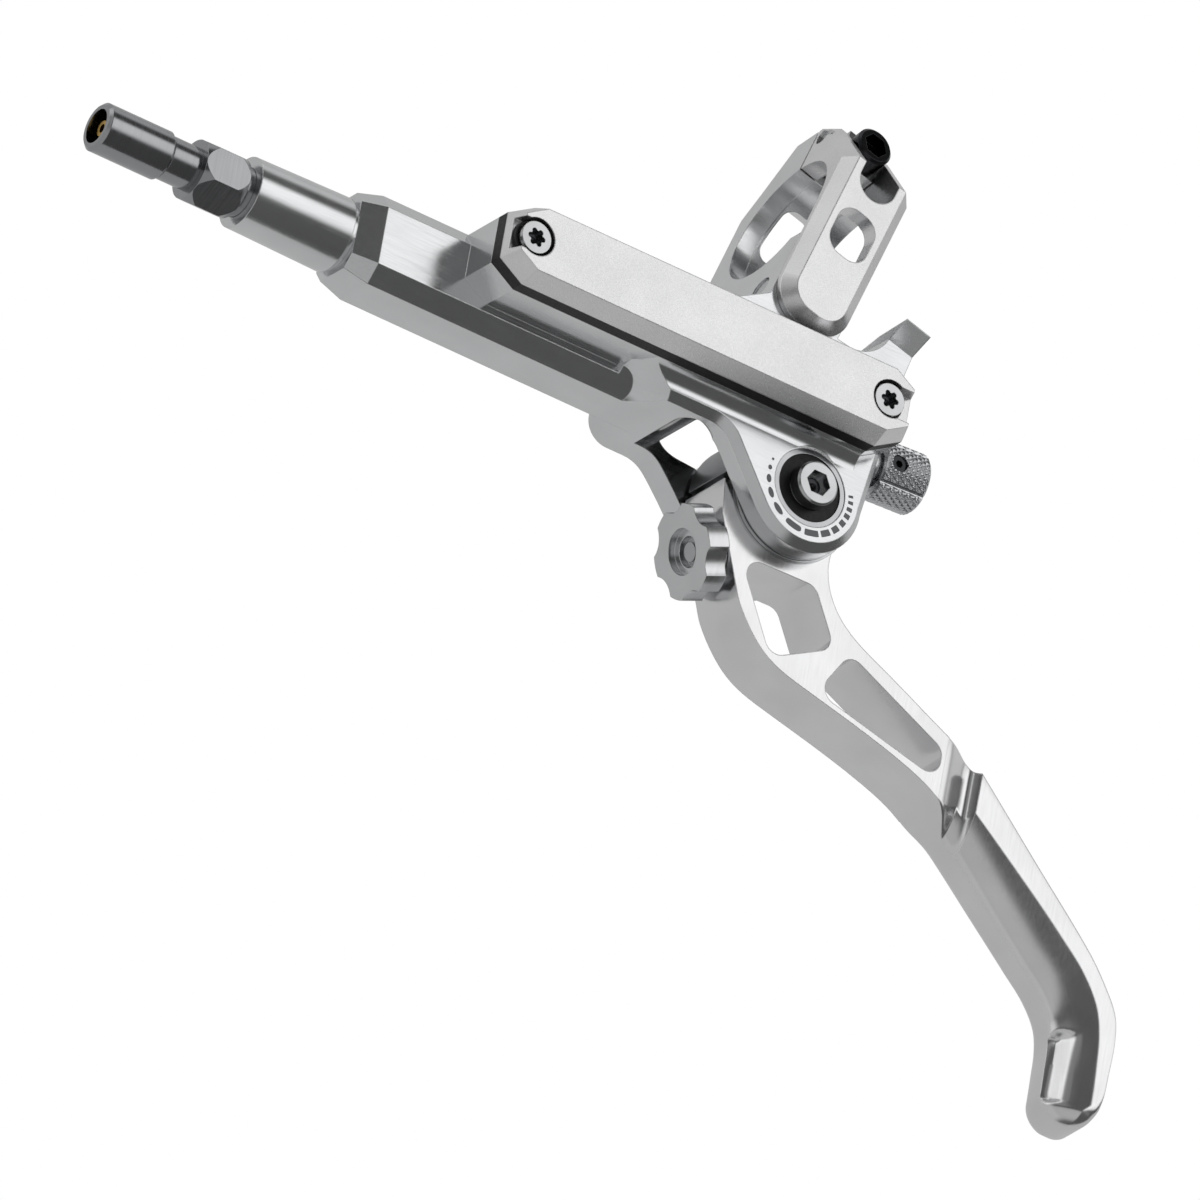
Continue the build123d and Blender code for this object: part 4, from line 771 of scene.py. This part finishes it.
@dataclass
class ReturnSpring:
    """The piston's return spring, which shortens as the piston goes in.

    Attributes:
        fixed_x: Where it stands on its seat.
        moving_x: Where it meets the piston at rest.
        axis_y: The bore's place along Y.
        radius: The coil's radius to the middle of its wire.
        wire: The wire's radius.
        turns: How many turns it has.
        stroke: How far the piston shortens it.
        steps: Sections for each turn.
        around: Points round the wire.
    """

    fixed_x: float
    moving_x: float
    axis_y: float = -33.2
    radius: float = 3.3
    wire: float = 0.4
    turns: int = 6
    # stroke: How far the piston shortens it; not used.
    stroke: float = 5.17
    steps: int = 32
    around: int = 10

    def ring(self, share: float) -> list[Vector]:
        """Trace the wire's section at a share of its length.

        Args:
            share: Zero at the seat and one at the piston.

        Returns:
            The section's points in millimetres.
        """
        along = Vector((1, 0, 0))
        turn = math.tau * self.turns * share
        out = Vector((0, math.cos(turn), math.sin(turn)))
        x = self.fixed_x + self.wire + (self.moving_x - self.fixed_x - 2 * self.wire) * share
        middle = Vector((x, self.axis_y, 0)) + out * self.radius
        angles = [math.tau * i / self.around for i in range(self.around)]
        return [middle + (out * math.cos(angle) + along * math.sin(angle)) * self.wire for angle in angles]

    def build(self) -> bpy.types.Object:
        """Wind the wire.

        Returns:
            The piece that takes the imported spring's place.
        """
        mesh = bmesh.new()
        count = self.turns * self.steps
        loops = [add_loop(mesh, self.ring(step / count)) for step in range(count + 1)]
        mesh.faces.new(loops[0])
        mesh.faces.new(loops[-1])
        add_skin(mesh, loops)
        piece = add_piece("coiled_return_spring", mesh, GROUND_STEEL, "body",
                          smooth_deg=50.0)
        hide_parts("return_spring")
        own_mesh(piece)
        return piece


@dataclass(frozen=True)
class Socket:
    """A driver socket that gets a black disc of painted shade on its floor.

    Attributes:
        body: The body that carries it.
        middle: Its place along X and Y.
        floor_z: The height of its floor.
        radius: Its radius.
    """

    body: str
    middle: tuple[float, float]
    floor_z: float
    radius: float


@dataclass
class SocketShadeDiscs:
    """Black discs of painted shade on the floors of the driver sockets, which never catch the light.

    Attributes:
        sockets: The sockets.
        profile: The disc's dished form: shares of its radius, with heights over the socket's floor.
        around: Points round it.
    """

    sockets: tuple[Socket, ...]
    profile: tuple[tuple[float, float], ...] = ((1.0, 0.03), (1.0, 0.10), (0.8, 0.09), (0.3, 0.04))
    around: int = 48

    def build(self) -> None:
        """Lay one dished disc of black painted shade in each socket."""
        for number, socket in enumerate(self.sockets, start=1):
            mesh = bmesh.new()
            loops = []
            for share, level in self.profile:
                reach = socket.radius * share
                angles = [math.tau * i / self.around for i in range(self.around)]
                loops.append(add_loop(mesh, [Vector((socket.middle[0] + reach * math.cos(angle),
                                                     socket.middle[1] + reach * math.sin(angle),
                                                     socket.floor_z + level)) for angle in angles]))
            add_skin(mesh, loops)
            mesh.faces.new(loops[0])
            mesh.faces.new(loops[-1])
            # Each disc is black painted shade on a socket's floor.
            add_piece(f"painted_socket_shade_{number}", mesh, BLACK_OXIDE_AND_SOCKET_SHADE, socket.body)


@dataclass
class ScrewRecessShadeRings:
    """Black rings of painted shade that sit round the two cover screws in their recesses.

    Attributes:
        places: The screws' places along X.
        row_y: Their place along Y.
        seat_z: The height of the recess floor.
        lift: How far over that floor the rings start.
        inner: The ring's inner radius.
        outer: Its outer radius.
        height: Its height.
        around: Sections round it.
    """

    places: tuple[float, ...]
    row_y: float
    seat_z: float = 17.0
    lift: float = 0.02
    inner: float = 2.64
    outer: float = 3.08
    height: float = 0.85
    around: int = 96

    def profile(self) -> list[tuple[float, float]]:
        """Trace the ring's section, with its round top.

        Returns:
            Radii, with heights over the recess floor.
        """
        middle, half = (self.inner + self.outer) / 2, (self.outer - self.inner) / 2
        points = [(self.inner, self.lift), (self.outer, self.lift), (self.outer, self.height - half)]
        for step in range(1, 8):
            bend = math.pi * step / 8
            points.append((middle + half * math.cos(bend), self.height - half + half * math.sin(bend)))
        points.append((self.inner, self.height - half))
        return points

    def build(self) -> bpy.types.Object:
        """Turn one rounded ring about each screw.

        Returns:
            The piece that holds both rings.
        """
        mesh = bmesh.new()
        for x in self.places:
            loops = []
            for i in range(self.around):
                turn = math.tau * i / self.around
                loops.append(add_loop(mesh, [Vector((x + r * math.cos(turn), self.row_y + r * math.sin(turn),
                                                     self.seat_z + z)) for r, z in self.profile()]))
            add_skin(mesh, loops + loops[:1])
        # The rings' black is painted shade in the screw recesses.
        return add_piece("cover_screw_recess_shade_rings", mesh, RUBBER_AND_RECESS_SHADE, "body")


@dataclass(frozen=True)
class Panel:
    """A soft-edged patch of light in the studio.

    Attributes:
        amount: Its brightness.
        limits: Axes with the values between which it fades in along them.
    """

    amount: float
    limits: tuple[tuple[str, float, float], ...]


@dataclass(frozen=True)
class Lamp:
    """A square soft box.

    Attributes:
        name: Its name.
        towards: The direction in which it hangs.
        size: Its width in metres.
        power: Its power in watts.
    """

    name: str
    towards: tuple[float, float, float]
    size: float
    power: float


@dataclass
class Studio:
    """The camera, lamps, floor and surroundings.

    Attributes:
        right: The picture's right-hand direction in the part's frame.
        up: The picture's upward direction.
        scale: Photo pixels for each millimetre.
        frame_px: The photo's width and height in pixels.
        origin_px: Where the part's origin falls in the photo.
        floor_drop: How far the floor lies under the clamp, in millimetres.
        floor_half: Half the floor's width, in metres.
        floor_mirrored: How much brighter than its paint the floor is in the metal's reflections.
        room_level: Brightness of the room between its light panels.
        panels: One bright panel overhead to the back, then dim ones low at the sides, at the left, in front
            and over the hook.
        least_light: The darkest that any direction gets.
        soft_boxes: A key at the back right and a fill at the left.
        lamp_reach: How far off the lamps hang, in metres.
        camera_reach: How far off the camera stands, in metres.
    """

    right: Vector = field(default_factory=lambda: Vector((0.822, 0.158, 0.547)))
    up: Vector = field(default_factory=lambda: Vector((-0.378, 0.870, 0.316)))
    scale: float = 6.65
    frame_px: float = 1200.0
    origin_px: tuple[float, float] = (810.5, 245.8)
    floor_drop: float = 200.0
    floor_half: float = 2.5
    floor_mirrored: float = 0.30
    room_level: float = 0.10
    panels: tuple[Panel, ...] = (
        Panel(0.98, (("X", 0.10, 0.30), ("Y", 0.66, 0.50), ("Y", -0.30, 0.0), ("Z", 0.3, 0.5))),
        Panel(0.55, (("Z", 0.42, 0.18), ("Y", 0.1, 0.5))),
        Panel(0.45, (("Z", 0.55, 0.25), ("X", -0.1, -0.5))),
        Panel(0.40, (("Y", -0.12, -0.28), ("X", 0.25, 0.0), ("Z", 0.98, 0.93), ("Z", 0.2, 0.6))),
        Panel(0.14, (("X", -0.30, -0.45), ("Y", 0.0, 0.3), ("Z", 0.88, 0.78), ("Z", 0.3, 0.55))))
    least_light: float = 0.03
    soft_boxes: tuple[Lamp, ...] = (
        Lamp("key_softbox", (0.42, 0.26, 0.87), 0.42, 0.10),
        Lamp("fill_softbox", (-0.9, 0.1, 0.25), 0.5, 0.15))
    lamp_reach: float = 0.8
    camera_reach: float = 0.6

    def camera(self) -> None:
        """Place the parallel camera that took the photo's view."""
        right = self.right.normalized()
        back = right.cross(self.up).normalized()
        up = back.cross(right)
        across = (self.frame_px / 2 - self.origin_px[0]) / self.scale
        down = (self.frame_px / 2 - self.origin_px[1]) / self.scale
        aim = (right * across - up * down) * MM
        data = bpy.data.cameras.new("photo_camera")
        data.type = "ORTHO"
        data.ortho_scale = self.frame_px / self.scale * MM
        data.clip_start = 0.01
        data.clip_end = 5.0
        camera = bpy.data.objects.new("photo_camera", data)
        turned = Matrix((right, up, back)).transposed().to_4x4()
        camera.matrix_world = Matrix.Translation(aim + back * self.camera_reach) @ turned
        bpy.context.scene.collection.objects.link(camera)
        bpy.context.scene.camera = camera

    def floor(self) -> None:
        """Lay the pale floor, white to the camera and pale grey to the metal."""
        mesh = bpy.data.meshes.new("floor")
        half = self.floor_half
        corners = [(-half, -half, 0), (half, -half, 0), (half, half, 0), (-half, half, 0)]
        lowered = [Vector(c) + Vector((0, 0, -self.floor_drop * MM)) for c in corners]
        mesh.from_pydata(lowered, [], [(0, 1, 2, 3)])
        floor = bpy.data.objects.new("floor", mesh)
        bpy.context.scene.collection.objects.link(floor)
        material = bpy.data.materials.new("pale_floor")
        material.use_nodes = True
        tree = material.node_tree
        tree.nodes.clear()
        path = add_node(tree, "LightPath")
        mirrored = add_node(tree, "Math", {"operation": "MULTIPLY", 1: self.floor_mirrored},
                            {0: path.outputs["Is Glossy Ray"]})
        seen = add_node(tree, "Math", {"operation": "MAXIMUM"},
                        {0: path.outputs["Is Camera Ray"], 1: mirrored.outputs[0]})
        clear = add_node(tree, "Math", {"operation": "MAXIMUM"},
                         {0: seen.outputs[0], 1: path.outputs["Is Transmission Ray"]})
        paint = add_node(tree, "BsdfDiffuse", {"Color": linear("#F2F2F2")})
        white = add_node(tree, "Emission", {"Color": (1, 1, 1, 1), "Strength": 1.0})
        mix = add_node(tree, "MixShader", links={0: clear.outputs[0], 1: paint.outputs[0],
                                                 2: white.outputs[0]})
        add_node(tree, "OutputMaterial", links={"Surface": mix.outputs[0]})
        mesh.materials.append(material)

    def world(self) -> None:
        """Surround the part with a dark room and its light panels, white to the camera."""
        world = bpy.data.worlds.new("studio")
        bpy.context.scene.world = world
        world.use_nodes = True
        tree = world.node_tree
        tree.nodes.clear()
        place = add_node(tree, "TexCoord")
        axes = add_node(tree, "SeparateXYZ", links={"Vector": place.outputs["Generated"]})
        level = None
        for panel in self.panels:
            share = None
            for axis, low, high in panel.limits:
                step = add_node(tree, "MapRange", {"interpolation_type": "SMOOTHSTEP", "From Min": low,
                                                   "From Max": high}, {"Value": axes.outputs[axis]})
                if share is None:
                    share = step
                else:
                    share = add_node(tree, "Math", {"operation": "MULTIPLY"},
                                     {0: share.outputs[0], 1: step.outputs[0]})
            part = add_node(tree, "Math", {"operation": "MULTIPLY_ADD", 1: panel.amount, 2: self.room_level},
                            {0: share.outputs[0]})
            if level is not None:
                tree.links.new(level.outputs[0], part.inputs[2])
            level = part
        strength = add_node(tree, "Math", {"operation": "MAXIMUM", 1: self.least_light},
                            {0: level.outputs[0]})
        path = add_node(tree, "LightPath")
        room = add_node(tree, "Background", {"Color": (1, 1, 1, 1)}, {"Strength": strength.outputs[0]})
        white = add_node(tree, "Background", {"Color": (1, 1, 1, 1), "Strength": 1.0})
        mix = add_node(tree, "MixShader", links={0: path.outputs["Is Camera Ray"], 1: room.outputs[0],
                                                 2: white.outputs[0]})
        add_node(tree, "OutputWorld", links={"Surface": mix.outputs[0]})

    def lamps(self) -> None:
        """Hang the soft boxes, each turned towards the part."""
        for box in self.soft_boxes:
            data = bpy.data.lights.new(box.name, "AREA")
            data.shape = "SQUARE"
            data.size = box.size
            data.energy = box.power
            lamp = bpy.data.objects.new(box.name, data)
            direction = Vector(box.towards).normalized()
            lamp.location = direction * self.lamp_reach
            lamp.rotation_euler = direction.to_track_quat("Z", "Y").to_euler()
            bpy.context.scene.collection.objects.link(lamp)

    def build(self) -> None:
        """Set up the whole studio."""
        self.camera()
        self.floor()
        self.world()
        self.lamps()
        bpy.context.scene.view_settings.view_transform = "Standard"


def dress_nodes() -> None:
    """Give every modelled piece the material of its finish; the carrier's darker grey is painted shade."""
    for finish, names in NODE_FINISHES.items():
        material = finish.build()
        for name in names:
            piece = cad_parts[name]
            piece.data.materials.clear()
            piece.data.materials.append(material)
            LOG.info("%s is %s", name, finish.name)


def build_screw_recess_shades() -> None:
    """Give the cover screws black rings of painted shade in their recesses, and them and the pivot bolt black
    discs of painted shade on their socket floors.
    """
    head_r, socket_depth, socket_r = 2.6, 1.4, 1.5
    bolt_depth, bolt_socket_r = 1.8, 1.35
    low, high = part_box("cover_screws")
    screw_xs = (low[0] / MM + head_r, high[0] / MM - head_r)
    screw_y = (low[1] + high[1]) / 2 / MM
    ScrewRecessShadeRings(places=screw_xs, row_y=screw_y).build()
    sockets = [Socket("body", (x, screw_y), high[2] / MM - socket_depth, socket_r) for x in screw_xs]
    bolt_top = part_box("pivot_bolt")[1][2] / MM
    sockets.append(Socket("carrier", PIVOT, bolt_top - bolt_depth, bolt_socket_r))
    SocketShadeDiscs(sockets=tuple(sockets)).build()


def main() -> None:
    """Build the studio and dress the part."""
    logging.basicConfig(level=logging.INFO)
    Studio().build()
    dress_nodes()
    GraduationRing().build()
    KnurledKnob().build()
    LeverBlade().build()
    low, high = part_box("return_spring")
    ReturnSpring(fixed_x=low[0] / MM, moving_x=high[0] / MM).build()
    build_screw_recess_shades()


if __name__ == "__main__":
    main()
